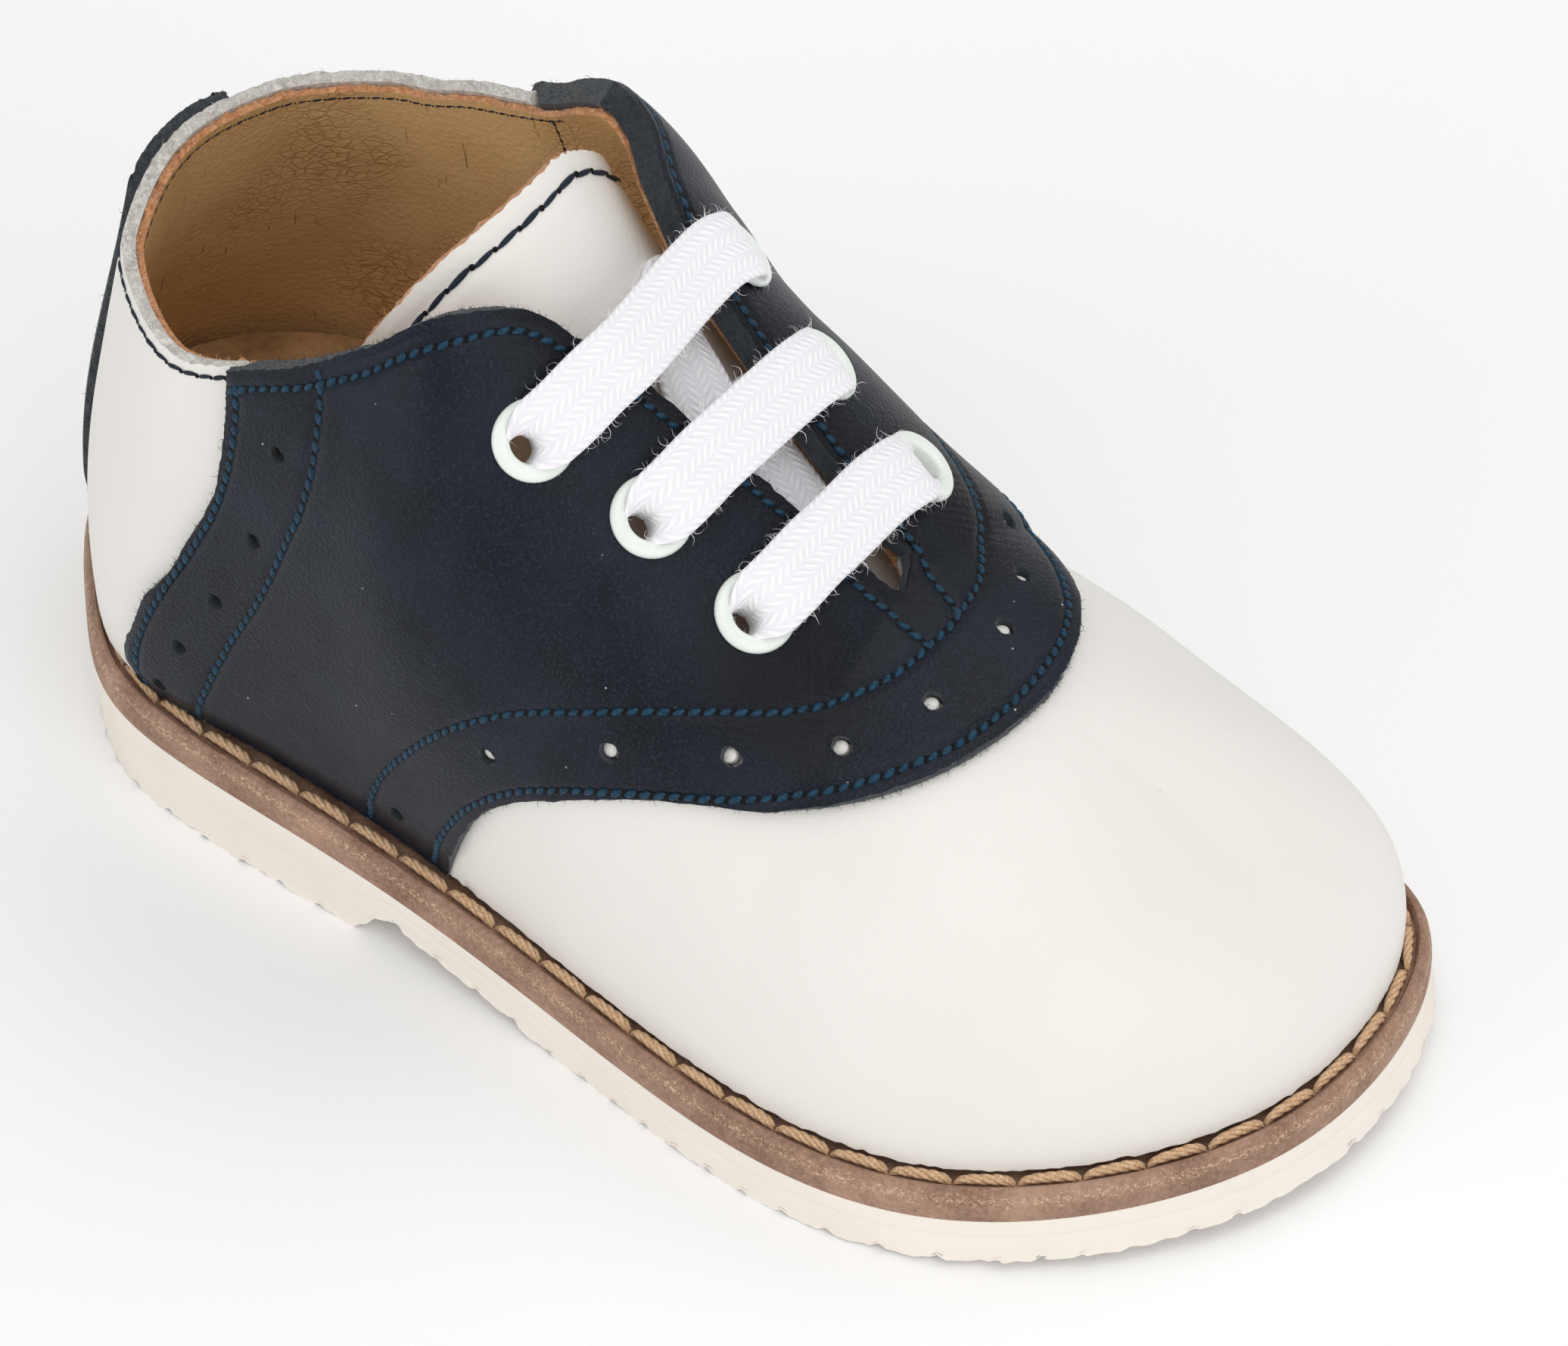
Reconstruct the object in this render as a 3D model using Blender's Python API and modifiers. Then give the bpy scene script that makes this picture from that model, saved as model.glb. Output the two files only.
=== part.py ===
"""A child's right saddle shoe with punched bands, in metres: +X to the toe, +Y to the inner side, +Z up."""
import math

import bmesh
import bpy
import numpy as np
from mathutils import Matrix, Vector

for old_object in list(bpy.data.objects):
    bpy.data.objects.remove(old_object, do_unlink=True)

# Driving sizes of the shoe: LENGTH is the last's, which reaches a little behind the heel
LENGTH = 0.148
BALL_WIDTH = 0.067
BACK_HEIGHT = 0.0632
INSTEP_HEIGHT = 0.0738

# Sole
HEEL_THICKNESS = 0.0096
FOREFOOT_THICKNESS = 0.0051
TOE_SPRING = 0.0028
HEEL_TAPER = 0.0013
HEEL_TAPER_END = 0.42
FOREFOOT_FLARE = 0.0006
FLARE_SPAN = (0.5, 0.8)
SHOULDER = (0.6, 0.4)
SHANK_PLACE = 0.40
SHANK_SPREAD = 0.06
SPRING_START = 0.68

# Layers of the shoe
GAP = 0.0003
WELT_THICKNESS = 0.0038
WELT_SHOW = 0.00275
WALL = 0.0022
SADDLE_LIFT = 0.0005
SADDLE_THICKNESS = 0.0011
BACKSTAY_THICKNESS = 0.0009
TONGUE_THICKNESS = 0.0016
INSOLE_THICKNESS = 0.0020
INSOLE_INSET = 0.0065
ON_SADDLE = SADDLE_LIFT + SADDLE_THICKNESS

# Lacing
LACE_WIDTH = 0.0069
LACE_THICKNESS = 0.0015
LACE_LIFT = 0.0012
EYELET_RADIUS = 0.0040
EYELET_BORE = 0.0023
EYELET_HEIGHT = 0.0009
BARREL_WALL = 0.00035
BORE_DEPTH = 0.012
EYELET_STEPS = 14
FLANGE_REACH = (0.55, 1.0)

# Welt outline seen from above: share of LENGTH from the heel, share of BALL_WIDTH toward the inner side
OUTLINE = {
    "heel back": (0.016, 0.020),
    "heel round, outer": (0.076, -0.221),
    "heel side, outer": (0.155, -0.361),
    "waist, outer": (0.425, -0.425),
    "ball, outer": (0.657, -0.513),
    "little toe": (0.826, -0.476),
    "toe corner, outer": (0.957, -0.236),
    "toe tip": (1.000, 0.045),
    "toe corner, inner": (0.957, 0.351),
    "big toe": (0.822, 0.443),
    "ball, inner": (0.670, 0.476),
    "waist, inner": (0.414, 0.373),
    "heel side, inner": (0.184, 0.358),
    "heel round, inner": (0.063, 0.238),
}
TOE_TIP = list(OUTLINE).index("toe tip")

# Edge of the welt board: inset from the outline, share of the board's thickness
WELT_PROFILE = (
    (0.0003, 0.00),
    (0.0000, 0.15),
    (0.0000, 0.70),
    (0.0004, 0.94),
    (0.0010, 1.00),
    (0.0013, 0.78),
    (0.0024, 0.78),
    (0.0026, 1.00),
)

# Edge of the insole: inset, share of its thickness
INSOLE_PROFILE = ((0.0004, 0.0), (0.0, 0.2), (0.0, 0.7), (0.0008, 1.0))

# Underside ahead of the heel: share of LENGTH, height above the floor
BREAST_PROFILE = (
    (0.353, -0.0010),
    (0.353, 0.0000),
    (0.368, 0.0029),
    (0.381, 0.0036),
    (0.413, 0.0026),
    (0.474, 0.0013),
    (0.518, 0.0000),
    (0.518, -0.0010),
)

# Sections of the upper, a row each from the centre back to the toe.
# along: share of the way along the foot of the upper; top_x: share of LENGTH; centre_y, outer, inner: middle
# of the opening and its half-widths in BALL_WIDTH; of_back, of_instep: height of the top edge; rise: what the
# inner side adds; slope: fall of the ridge; foot_in: extra inset of the foot; leans in degrees; pulls in chord
# lengths; reach: how far past its top point a column runs, to the corner of the lacing edge
SECTION_COLUMNS = ("along", "top_x", "centre_y", "outer", "inner", "of_back", "of_instep", "rise", "slope",
                   "foot_in", "foot_lean", "top_lean", "foot_pull", "top_pull", "reach")
SECTIONS = (
    (0.000, 0.085, 0.004, 0.000, 0.000, 1.000, 0.000, 0.0000, 0.00, -0.0017, -5, 11, 0.34, 0.34, 1.000),
    (0.100, 0.103, 0.002, 0.167, 0.182, 0.965, 0.000, 0.0008, 0.00, -0.0017, -5, 10, 0.34, 0.34, 1.000),
    (0.190, 0.189, 0.000, 0.293, 0.310, 0.911, 0.000, 0.0038, 0.00, -0.0004, 0, 10, 0.34, 0.34, 1.000),
    (0.270, 0.265, 0.004, 0.293, 0.296, 0.989, 0.000, 0.0037, 0.00, 0.0009, 5, 14, 0.36, 0.34, 1.000),
    (0.340, 0.332, 0.006, 0.270, 0.260, 1.081, 0.000, 0.0026, 0.00, 0.0009, 6, 27, 0.40, 0.36, 1.008),
    (0.385, 0.376, 0.007, 0.237, 0.231, 0.000, 0.970, 0.0014, -0.30, 0.0007, 6, 40, 0.42, 0.38, 1.035),
    (0.420, 0.407, 0.007, 0.191, 0.185, 0.000, 0.958, 0.0004, -0.50, 0.0004, 6, 52, 0.44, 0.38, 1.050),
    (0.455, 0.443, 0.007, 0.133, 0.124, 0.000, 0.923, -0.0002, -0.60, 0.0002, 6, 64, 0.45, 0.38, 1.028),
    (0.500, 0.497, 0.007, 0.066, 0.066, 0.000, 0.852, 0.0000, -0.65, 0.0000, 6, 76, 0.46, 0.40, 1.007),
    (0.560, 0.571, 0.007, 0.025, 0.024, 0.000, 0.743, 0.0000, -0.65, 0.0000, 6, 85, 0.46, 0.40, 1.000),
    (0.612, 0.634, 0.007, 0.013, 0.013, 0.000, 0.649, 0.0000, -0.55, 0.0000, 6, 89, 0.46, 0.40, 1.000),
    (0.625, 0.649, 0.007, 0.000, 0.000, 0.000, 0.627, 0.0000, -0.50, 0.0000, 6, 90, 0.46, 0.40, 1.000),
    (0.700, 0.715, 0.010, 0.000, 0.000, 0.000, 0.592, 0.0000, -0.26, 0.0000, 6, 90, 0.45, 0.40, 1.000),
    (0.800, 0.778, 0.013, 0.000, 0.000, 0.000, 0.556, 0.0000, -0.34, 0.0000, 6, 90, 0.44, 0.40, 1.000),
    (0.900, 0.826, 0.018, 0.000, 0.000, 0.000, 0.512, 0.0000, -0.50, 0.0000, 6, 90, 0.43, 0.40, 1.000),
    (1.000, 0.846, 0.022, 0.000, 0.000, 0.000, 0.489, 0.0000, -0.58, 0.0000, 6, 90, 0.43, 0.40, 1.000),
)
THROAT_END = 0.625
RIDGE_LEAN = (30.0, 70.0)

# Facets: share along the foot of the upper (at its top edge for the saddle), count of columns up to there
UPPER_COLUMNS = ((0.0, 0), (0.20, 9), (0.36, 5), (0.46, 7), (0.612, 6), (THROAT_END, 1), (1.0, 11))
SADDLE_COLUMNS = ((0.236, 0), (0.36, 4), (0.46, 7), (THROAT_END, 6), (0.767, 5))
UPPER_ROWS = 11
SOLE_COLUMNS = 38
INSOLE_COLUMNS = 31
BACKSTAY_COLUMNS = 5
LACE_STEPS = 7

# Rear and front edges of the saddle on the upper: share of the way up, then shares along
SADDLE_EDGES = (
    (0.00, 0.176, 0.400),
    (0.10, 0.174, 0.418),
    (0.20, 0.181, 0.441),
    (0.27, 0.186, 0.466),
    (0.33, 0.191, 0.496),
    (0.40, 0.202, 0.532),
    (0.47, 0.211, 0.571),
    (0.55, 0.220, 0.617),
    (0.63, 0.231, 0.655),
    (0.72, 0.239, 0.691),
    (0.81, 0.241, 0.719),
    (0.90, 0.240, 0.743),
    (1.00, 0.236, 0.767),
)

# Half-width of the backstay on the upper: share of the way up, share along
BACKSTAY_EDGE = ((0.0, 0.036), (0.5, 0.044), (1.0, 0.062))

# Tongue up the instep: share of LENGTH, height and sideways place of its crown, half-width, radius, tilt in degrees
TONGUE_COLUMNS = ("x", "z", "y", "half", "radius", "tilt")
TONGUE = (
    (0.690, 0.0405, 0.0006, 0.0090, 0.024, 0),
    (0.645, 0.0425, 0.0006, 0.0105, 0.021, 0),
    (0.571, 0.0500, 0.0006, 0.0120, 0.018, 0),
    (0.497, 0.0586, 0.0008, 0.0130, 0.017, -1),
    (0.430, 0.0666, 0.0012, 0.0138, 0.0165, -4),
    (0.359, 0.0757, 0.0018, 0.0138, 0.0168, -8),
)
TONGUE_STEPS = (16, 12)

# Eyelets from the top down: outer along and up, inner along and up
EYELETS = ((0.447, 0.850, 0.455, 0.855), (0.508, 0.835, 0.518, 0.840), (0.570, 0.808, 0.580, 0.795))

COLOURS = {
    "outsole": ((0.86, 0.83, 0.77), 0.55),
    "welt": ((0.26, 0.15, 0.10), 0.65),
    "upper": ((0.90, 0.88, 0.85), 0.42),
    "saddle": ((0.012, 0.017, 0.032), 0.30),
    "backstay": ((0.012, 0.017, 0.032), 0.32),
    "tongue": ((0.90, 0.88, 0.85), 0.45),
    "insole": ((0.40, 0.26, 0.13), 0.85),
    "eyelet": ((0.80, 0.85, 0.81), 0.30),
    "lace": ((0.90, 0.89, 0.92), 0.85),
}

OUTER = 0
INNER = 1


def closed_spline(points):
    """Smooth closed cubic through points, as a function from knot numbers to places and directions."""
    count = len(points)
    steps = np.sqrt(np.linalg.norm(np.roll(points, -1, 0) - points, axis=1))
    matrix = np.zeros((count, count))
    right = np.zeros_like(points)
    for i in range(count):
        before, after = steps[i - 1], steps[i]
        matrix[i, i - 1] += before
        matrix[i, i] += 2 * (before + after)
        matrix[i, (i + 1) % count] += after
        right[i] = 6 * ((points[(i + 1) % count] - points[i]) / after - (points[i] - points[i - 1]) / before)
    bend = np.linalg.solve(matrix, right)

    def at(knot):
        k = np.floor(knot).astype(int) % count
        h = steps[k][:, None]
        s = (knot - np.floor(knot))[:, None] * h
        r = h - s
        start = points[k] / h - bend[k] * h / 6
        end = points[(k + 1) % count] / h - bend[(k + 1) % count] * h / 6
        place = (bend[k] * r**3 + bend[(k + 1) % count] * s**3) / (6 * h) + start * r + end * s
        direction = (bend[(k + 1) % count] * s**2 - bend[k] * r**2) / (2 * h) - start + end
        return place, direction

    return at


def monotone(xs, ys, x):
    """Monotone cubic interpolation, so that rows of a table never overshoot."""
    xs, ys, x = (np.asarray(v, float) for v in (xs, ys, x))
    widths = np.diff(xs)
    rates = np.diff(ys) / widths
    slopes = np.zeros(len(xs))
    slopes[0], slopes[-1] = rates[0], rates[-1]
    for i in range(1, len(xs) - 1):
        if rates[i - 1] * rates[i] > 0:
            a = 2 * widths[i] + widths[i - 1]
            b = widths[i] + 2 * widths[i - 1]
            slopes[i] = (a + b) / (a / rates[i - 1] + b / rates[i])
    k = np.clip(np.searchsorted(xs, x, side="right") - 1, 0, len(widths) - 1)
    s = (x - xs[k]) / widths[k]
    r = 1 - s
    rise = r * r * ((1 + 2 * s) * ys[k] + s * widths[k] * slopes[k])
    return rise + s * s * ((3 - 2 * s) * ys[k + 1] - r * widths[k] * slopes[k + 1])


def outline_halves():
    """Outer and inner halves of the welt outline from heel to toe: fine points and outward normals."""
    shares = np.array(list(OUTLINE.values()))
    spline = closed_spline((shares - (0.5, 0.0)) * (LENGTH, BALL_WIDTH))
    halves = []
    for first in (0, len(shares)):
        places, directions = spline(np.linspace(first, TOE_TIP, 1200))
        normals = np.stack([directions[:, 1], -directions[:, 0]], 1)
        normals /= np.linalg.norm(normals, axis=1)[:, None]
        halves.append((places, normals))
    every = np.vstack([places for places, _ in halves])
    middle = (every.min(0) + every.max(0)) / 2 + (FOREFOOT_FLARE / 2, 0)
    return [(places - middle, normals) for places, normals in halves], middle


HALVES, MIDDLE = outline_halves()
HEEL_X = -LENGTH / 2 - MIDDLE[0]


def on_outline(side, along, inset):
    """Points and outward normals of the outline brought in by an inset, at shares of the line's length."""
    places, normals = HALVES[side]
    line = places - normals * WELT_SHOW
    run = np.concatenate([[0], np.cumsum(np.linalg.norm(np.diff(line, axis=0), axis=1))])
    run /= run[-1]
    normal = np.stack([np.interp(along, run, normals[:, i]) for i in (0, 1)], -1)
    normal /= np.linalg.norm(normal, axis=-1)[..., None]
    point = np.stack([np.interp(along, run, places[:, i]) for i in (0, 1)], -1)
    return point - normal * np.asarray(inset)[..., None], normal


def sole_share(x):
    return np.clip((x - HEEL_X) / LENGTH, 0, 1)


def toe_lift(x):
    return np.clip((sole_share(x) - SPRING_START) / (1 - SPRING_START), 0, 1) ** 2 * TOE_SPRING


def sole_top(x):
    """Height of the joint between outsole and welt."""
    heel = 1 / (1 + np.exp((sole_share(x) - SHANK_PLACE) / SHANK_SPREAD))
    return FOREFOOT_THICKNESS + (HEEL_THICKNESS - FOREFOOT_THICKNESS) * heel + toe_lift(x)


def welt_top(x):
    return sole_top(x) + WELT_THICKNESS


def section(column, along):
    """A column of SECTIONS between its rows; heel and toe are turning points of both halves."""
    rows = np.array(SECTIONS)
    columns = dict(zip(SECTION_COLUMNS, rows.T))
    columns["height"] = columns["of_back"] * BACK_HEIGHT + columns["of_instep"] * INSTEP_HEIGHT
    q, y = columns["along"], columns[column]
    return monotone(np.r_[-q[3:0:-1], q, 2 - q[-2:-5:-1]], np.r_[y[3:0:-1], y, y[-2:-5:-1]], along)


def columns_at(spans):
    """Shares along at the edges of facets, evenly spaced within each span."""
    places = [[spans[0][0]]]
    for (start, _), (end, count) in zip(spans, spans[1:]):
        places.append(np.linspace(start, end, count + 1)[1:])
    return np.concatenate(places)


def upper_point(side, along, up):
    """Outside of the upper at shares along its foot and up its height: a cubic column from foot to top edge."""
    along, up = np.broadcast_arrays(np.asarray(along, float), np.asarray(up, float))
    shape = along.shape
    along, up = along.ravel(), up.ravel()
    hand = 1 if side == INNER else -1
    plan, normal = on_outline(side, along, WELT_SHOW + section("foot_in", along))
    foot = np.c_[plan, welt_top(plan[:, 0]) + GAP]
    half = section("inner" if side == INNER else "outer", along) * BALL_WIDTH
    height = section("height", along)
    if side == INNER:
        height = height + section("rise", along)
    top_x = HEEL_X + section("top_x", along) * LENGTH
    top_y = section("centre_y", along) * BALL_WIDTH + hand * half - MIDDLE[1]
    top = np.c_[top_x, top_y, height]
    foot_lean = np.radians(section("foot_lean", along))
    top_lean = np.radians(section("top_lean", along))
    inward = top[:, :2] - plan
    inward /= np.maximum(np.linalg.norm(inward, axis=1), 1e-6)[:, None]
    ridge = np.clip((np.degrees(top_lean) - RIDGE_LEAN[0]) / (RIDGE_LEAN[1] - RIDGE_LEAN[0]), 0, 1)[:, None]
    inward = inward * ridge - normal * (1 - ridge)
    inward /= np.linalg.norm(inward, axis=1)[:, None]
    rising = np.c_[normal * np.sin(foot_lean)[:, None], np.cos(foot_lean)]
    fall = section("slope", along) * inward[:, 0] * np.sin(top_lean)
    arriving = np.c_[inward * np.sin(top_lean)[:, None], np.cos(top_lean) + fall]
    arriving /= np.linalg.norm(arriving, axis=1)[:, None]
    chord = np.linalg.norm(top - foot, axis=1)[:, None]
    low = foot + rising * chord * section("foot_pull", along)[:, None]
    high = top - arriving * chord * section("top_pull", along)[:, None]
    s = (up * section("reach", along))[:, None]
    r = 1 - s
    return (r**3 * foot + 3 * r * r * s * low + 3 * r * s * s * high + s**3 * top).reshape(shape + (3,))


def upper_normal(side, along, up, step=0.004):
    """Outward unit normal of the upper, by small steps along and up."""
    along, up = np.broadcast_arrays(np.asarray(along, float), np.asarray(up, float))
    ahead = upper_point(side, np.minimum(along + step, 1), up)
    behind = upper_point(side, np.maximum(along - step, 0), up)
    above = upper_point(side, along, np.minimum(up + step, 1))
    below = upper_point(side, along, np.maximum(up - step, 0))
    normal = np.cross(ahead - behind, above - below)
    normal /= np.linalg.norm(normal, axis=-1)[..., None]
    return normal if side == OUTER else -normal


def over_upper(side, along, up, lift):
    return upper_point(side, along, up) + upper_normal(side, along, up) * lift


def new_collection(name):
    collection = bpy.data.collections.new(name)
    bpy.context.scene.collection.children.link(collection)
    return collection


PARTS = new_collection("saddle_shoe")
CUTTERS = new_collection("cutters")


def material(kind):
    """Principled material of a kind of piece, made once."""
    found = bpy.data.materials.get(kind)
    if found:
        return found
    colour, roughness = COLOURS[kind]
    made = bpy.data.materials.new(kind)
    made.use_nodes = True
    shader = made.node_tree.nodes["Principled BSDF"]
    shader.inputs["Base Color"].default_value = (*colour, 1)
    shader.inputs["Roughness"].default_value = roughness
    shader.inputs["Metallic"].default_value = 0.0
    return made


def add_object(name, mesh, kind, collection=PARTS):
    """Object of a finished mesh, smooth except across its edges."""
    mesh.shade_smooth()
    mesh.set_sharp_from_angle(angle=math.radians(40))
    made = bpy.data.objects.new(name, mesh)
    collection.objects.link(made)
    made.data.materials.append(material(kind))
    return made


def mesh_of(name, build):
    """Mesh filled by a function of an empty bmesh."""
    bm = bmesh.new()
    build(bm)
    mesh = bpy.data.meshes.new(name)
    bm.to_mesh(mesh)
    bm.free()
    return mesh


def add_grid(bm, points, flip):
    """Quads of a grid of points (rows, columns, 3)."""
    rows, columns = points.shape[:2]
    verts = [[bm.verts.new(p) for p in row] for row in points]
    for i in range(rows - 1):
        for j in range(columns - 1):
            corners = [verts[i][j], verts[i + 1][j], verts[i + 1][j + 1], verts[i][j + 1]]
            bm.faces.new(corners[::-1] if flip else corners)


def two_sided_sheet(name, outer, inner):
    """Open sheet of an outer and an inner grid, welded where they share points."""
    def build(bm):
        add_grid(bm, outer, False)
        add_grid(bm, inner, True)
        bmesh.ops.remove_doubles(bm, verts=bm.verts, dist=0.00008)
    return mesh_of(name, build)


def thicken(target, thickness, outward):
    """Wall on an open sheet."""
    solidify = target.modifiers.new("Wall", "SOLIDIFY")
    solidify.thickness = thickness
    solidify.offset = 1 if outward else -1
    solidify.use_even_offset = True


def slab(name, rings):
    """Closed solid through loops that each join an outer and an inner half, capped by strips across."""
    def build(bm):
        loops = []
        for outer, inner in rings:
            loop = [bm.verts.new(p) for p in outer]
            loop += [bm.verts.new(p) for p in inner[-2:0:-1]]
            loops.append(loop)
        count = len(loops[0])
        for low, high in zip(loops, loops[1:]):
            for i in range(count):
                j = (i + 1) % count
                bm.faces.new((low[i], low[j], high[j], high[i]))
        last = len(rings[0][0]) - 1
        for loop, turned in ((loops[0], True), (loops[-1], False)):
            for i in range(last):
                corners = [loop[i], loop[i + 1], loop[-(i + 1) % count], loop[-i % count]]
                corners = list(dict.fromkeys(corners))
                bm.faces.new(corners[::-1] if turned else corners)
    return mesh_of(name, build)


def sole_ring(inset, height, count=SOLE_COLUMNS):
    """Both halves of the outline at an inset, with heights from a function of X."""
    along = np.linspace(0, 1, count)
    halves = []
    for side in (OUTER, INNER):
        plan, _ = on_outline(side, along, np.broadcast_to(inset(along), along.shape))
        halves.append(np.c_[plan, height(plan[:, 0])])
    return halves


def make_outsole():
    """Outsole with its heel: flat under heel and forefoot, with a breast notch between them."""
    def top_inset(along):
        return np.zeros_like(along)

    def floor_inset(along):
        taper = HEEL_TAPER * np.clip(1 - along / HEEL_TAPER_END, 0, 1)
        return taper - np.interp(along, FLARE_SPAN, (0, FOREFOOT_FLARE))

    def shoulder_inset(along):
        return floor_inset(along) * SHOULDER[0]

    def shoulder_height(x):
        return toe_lift(x) + SHOULDER[1] * (sole_top(x) - toe_lift(x))

    mesh = slab("outsole", [
        sole_ring(floor_inset, toe_lift),
        sole_ring(shoulder_inset, shoulder_height),
        sole_ring(top_inset, lambda x: sole_top(x) - GAP),
    ])
    outsole = add_object("outsole", mesh, "outsole")
    breast = add_object("breast_cutter", mesh_of("breast_cutter", build_breast), "outsole", CUTTERS)
    cut(outsole, breast)


def build_breast(bm):
    """Prism across the shoe under the waist, ahead of the heel."""
    ends = []
    for y in (-BALL_WIDTH, BALL_WIDTH):
        ends.append([bm.verts.new((HEEL_X + share * LENGTH, y, z)) for share, z in BREAST_PROFILE])
    count = len(BREAST_PROFILE)
    for i in range(count):
        j = (i + 1) % count
        bm.faces.new((ends[0][i], ends[0][j], ends[1][j], ends[1][i]))
    bm.faces.new(ends[0][::-1])
    bm.faces.new(ends[1])
    bmesh.ops.recalc_face_normals(bm, faces=bm.faces)


def cut(target, cutter):
    """Exact difference by a cutter that stays out of the result."""
    cutter.hide_render = True
    cutter.display_type = "WIRE"
    boolean = target.modifiers.new("Cut", "BOOLEAN")
    boolean.operation = "DIFFERENCE"
    boolean.object = cutter


def make_welt():
    """Welt board under the whole upper, with a rounded edge and a groove along its top for the cord."""
    rings = []
    for inset, share in WELT_PROFILE:
        rings.append(sole_ring(lambda along, inset=inset: np.full_like(along, inset),
                               lambda x, share=share: sole_top(x) + share * WELT_THICKNESS))
    add_object("welt", slab("welt", rings), "welt")


def make_insole():
    """Insole on the welt board, inside the foot of the upper."""
    rings = []
    for inset, share in INSOLE_PROFILE:
        rings.append(sole_ring(lambda along, inset=inset: np.full_like(along, INSOLE_INSET + inset),
                               lambda x, share=share: welt_top(x) + GAP + share * INSOLE_THICKNESS,
                               INSOLE_COLUMNS))
    add_object("insole", slab("insole", rings), "insole")


def make_upper(eyelet_cutter):
    """Upper: one hollow shell, open at the collar and throat and underneath."""
    along = columns_at(UPPER_COLUMNS)
    up = np.linspace(0, 1, UPPER_ROWS)
    grids = [upper_point(side, along[:, None], up[None, :]) for side in (OUTER, INNER)]
    upper = add_object("upper", two_sided_sheet("upper", *grids), "upper")
    thicken(upper, WALL, False)
    cut(upper, eyelet_cutter)


def saddle_grid(side, lift):
    """Grid of the saddle on one side of the upper, with a column at the end of the throat."""
    up, rear, front = np.array(SADDLE_EDGES).T
    across = (columns_at(SADDLE_COLUMNS) - rear[-1]) / (front[-1] - rear[-1])
    along = rear[None, :] + across[:, None] * (front - rear)[None, :]
    return over_upper(side, along, np.broadcast_to(up, along.shape), lift)


def make_saddle(eyelet_cutter):
    """Saddle over the instep, laid on the upper's own form."""
    grids = [saddle_grid(side, SADDLE_LIFT) for side in (OUTER, INNER)]
    saddle = add_object("saddle", two_sided_sheet("saddle", *grids), "saddle")
    thicken(saddle, SADDLE_THICKNESS, True)
    cut(saddle, eyelet_cutter)


def make_backstay():
    """Strip up the centre back, laid on the upper's own form."""
    up = np.linspace(0, 1, UPPER_ROWS)
    edge = monotone(*np.array(BACKSTAY_EDGE).T, up)
    along = np.linspace(0, 1, BACKSTAY_COLUMNS)[:, None] * edge[None, :]
    grids = [over_upper(side, along, np.broadcast_to(up, along.shape), GAP) for side in (OUTER, INNER)]
    backstay = add_object("backstay", two_sided_sheet("backstay", *grids), "backstay")
    thicken(backstay, BACKSTAY_THICKNESS, True)


def tongue_grid():
    """Arched sheet under the throat: rows up the instep, arcs across it."""
    rows = np.array(TONGUE)
    lengthwise, crosswise = TONGUE_STEPS
    place = np.linspace(0, 1, lengthwise)
    knots = np.linspace(0, 1, len(rows))
    values = {name: monotone(knots, rows[:, i], place) for i, name in enumerate(TONGUE_COLUMNS)}
    crown = np.c_[HEEL_X + values["x"] * LENGTH, values["y"] - MIDDLE[1], values["z"]]
    run = np.gradient(crown, axis=0)
    run /= np.linalg.norm(run, axis=1)[:, None]
    side = np.array((0.0, 1.0, 0.0))
    out = np.cross(side, run)
    out *= np.sign(out[:, 2:3])
    tilt = np.radians(values["tilt"])[:, None]
    across = side * np.cos(tilt) - out * np.sin(tilt)
    rise = out * np.cos(tilt) + side * np.sin(tilt)
    grid = []
    for share in np.linspace(-1, 1, crosswise):
        angle = (share * values["half"] / values["radius"])[:, None]
        radius = values["radius"][:, None]
        grid.append(crown + radius * (across * np.sin(angle) + rise * (np.cos(angle) - 1)))
    return np.array(grid).transpose(1, 0, 2)


def make_tongue():
    """Tongue under the throat, with its top standing free."""
    tongue = add_object("tongue", mesh_of("tongue", lambda bm: add_grid(bm, tongue_grid(), True)), "tongue")
    thicken(tongue, TONGUE_THICKNESS, False)


def eyelet_bump(side, along, up):
    """How far the saddle rises past its tangent plane under a flange."""
    centre = over_upper(side, along, up, ON_SADDLE)
    normal = upper_normal(side, along, up)
    span = np.linspace(-1, 1, 15)
    around = along + 0.05 * span[:, None]
    above = np.minimum(up + 0.15 * span[None, :], 1)
    near = over_upper(side, around, above, ON_SADDLE) - centre
    height = near @ normal
    spread = np.linalg.norm(near - height[..., None] * normal, axis=-1)
    return height[spread < 1.05 * EYELET_RADIUS].max()


def eyelet_seat(side, along, up):
    """Centre and outward normal of a flange that clears the saddle all round."""
    lift = ON_SADDLE + eyelet_bump(side, along, up)
    return Vector(over_upper(side, along, up, lift)), Vector(upper_normal(side, along, up))


def eyelet_frames():
    """Name, centre and outward normal of each eyelet on the saddle's outside."""
    frames = []
    for number, (along_outer, up_outer, along_inner, up_inner) in enumerate(EYELETS, 1):
        frames.append((f"eyelet_outer_{number}", *eyelet_seat(OUTER, along_outer, up_outer)))
        frames.append((f"eyelet_inner_{number}", *eyelet_seat(INNER, along_inner, up_inner)))
    return frames


def facing(centre, normal):
    """Placement with its Z along a normal."""
    return Matrix.Translation(centre) @ normal.to_track_quat("Z", "Y").to_matrix().to_4x4()


def make_eyelet_cutter():
    """Bores for the eyelets' barrels through saddle and upper."""
    radius = EYELET_BORE + BARREL_WALL + GAP

    def build(bm):
        for _, centre, normal in eyelet_frames():
            bmesh.ops.create_cone(bm, cap_ends=True, segments=EYELET_STEPS, depth=BORE_DEPTH,
                                  radius1=radius, radius2=radius, matrix=facing(centre, normal))
    return add_object("eyelet_bores", mesh_of("eyelet_bores", build), "eyelet", CUTTERS)


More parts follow.
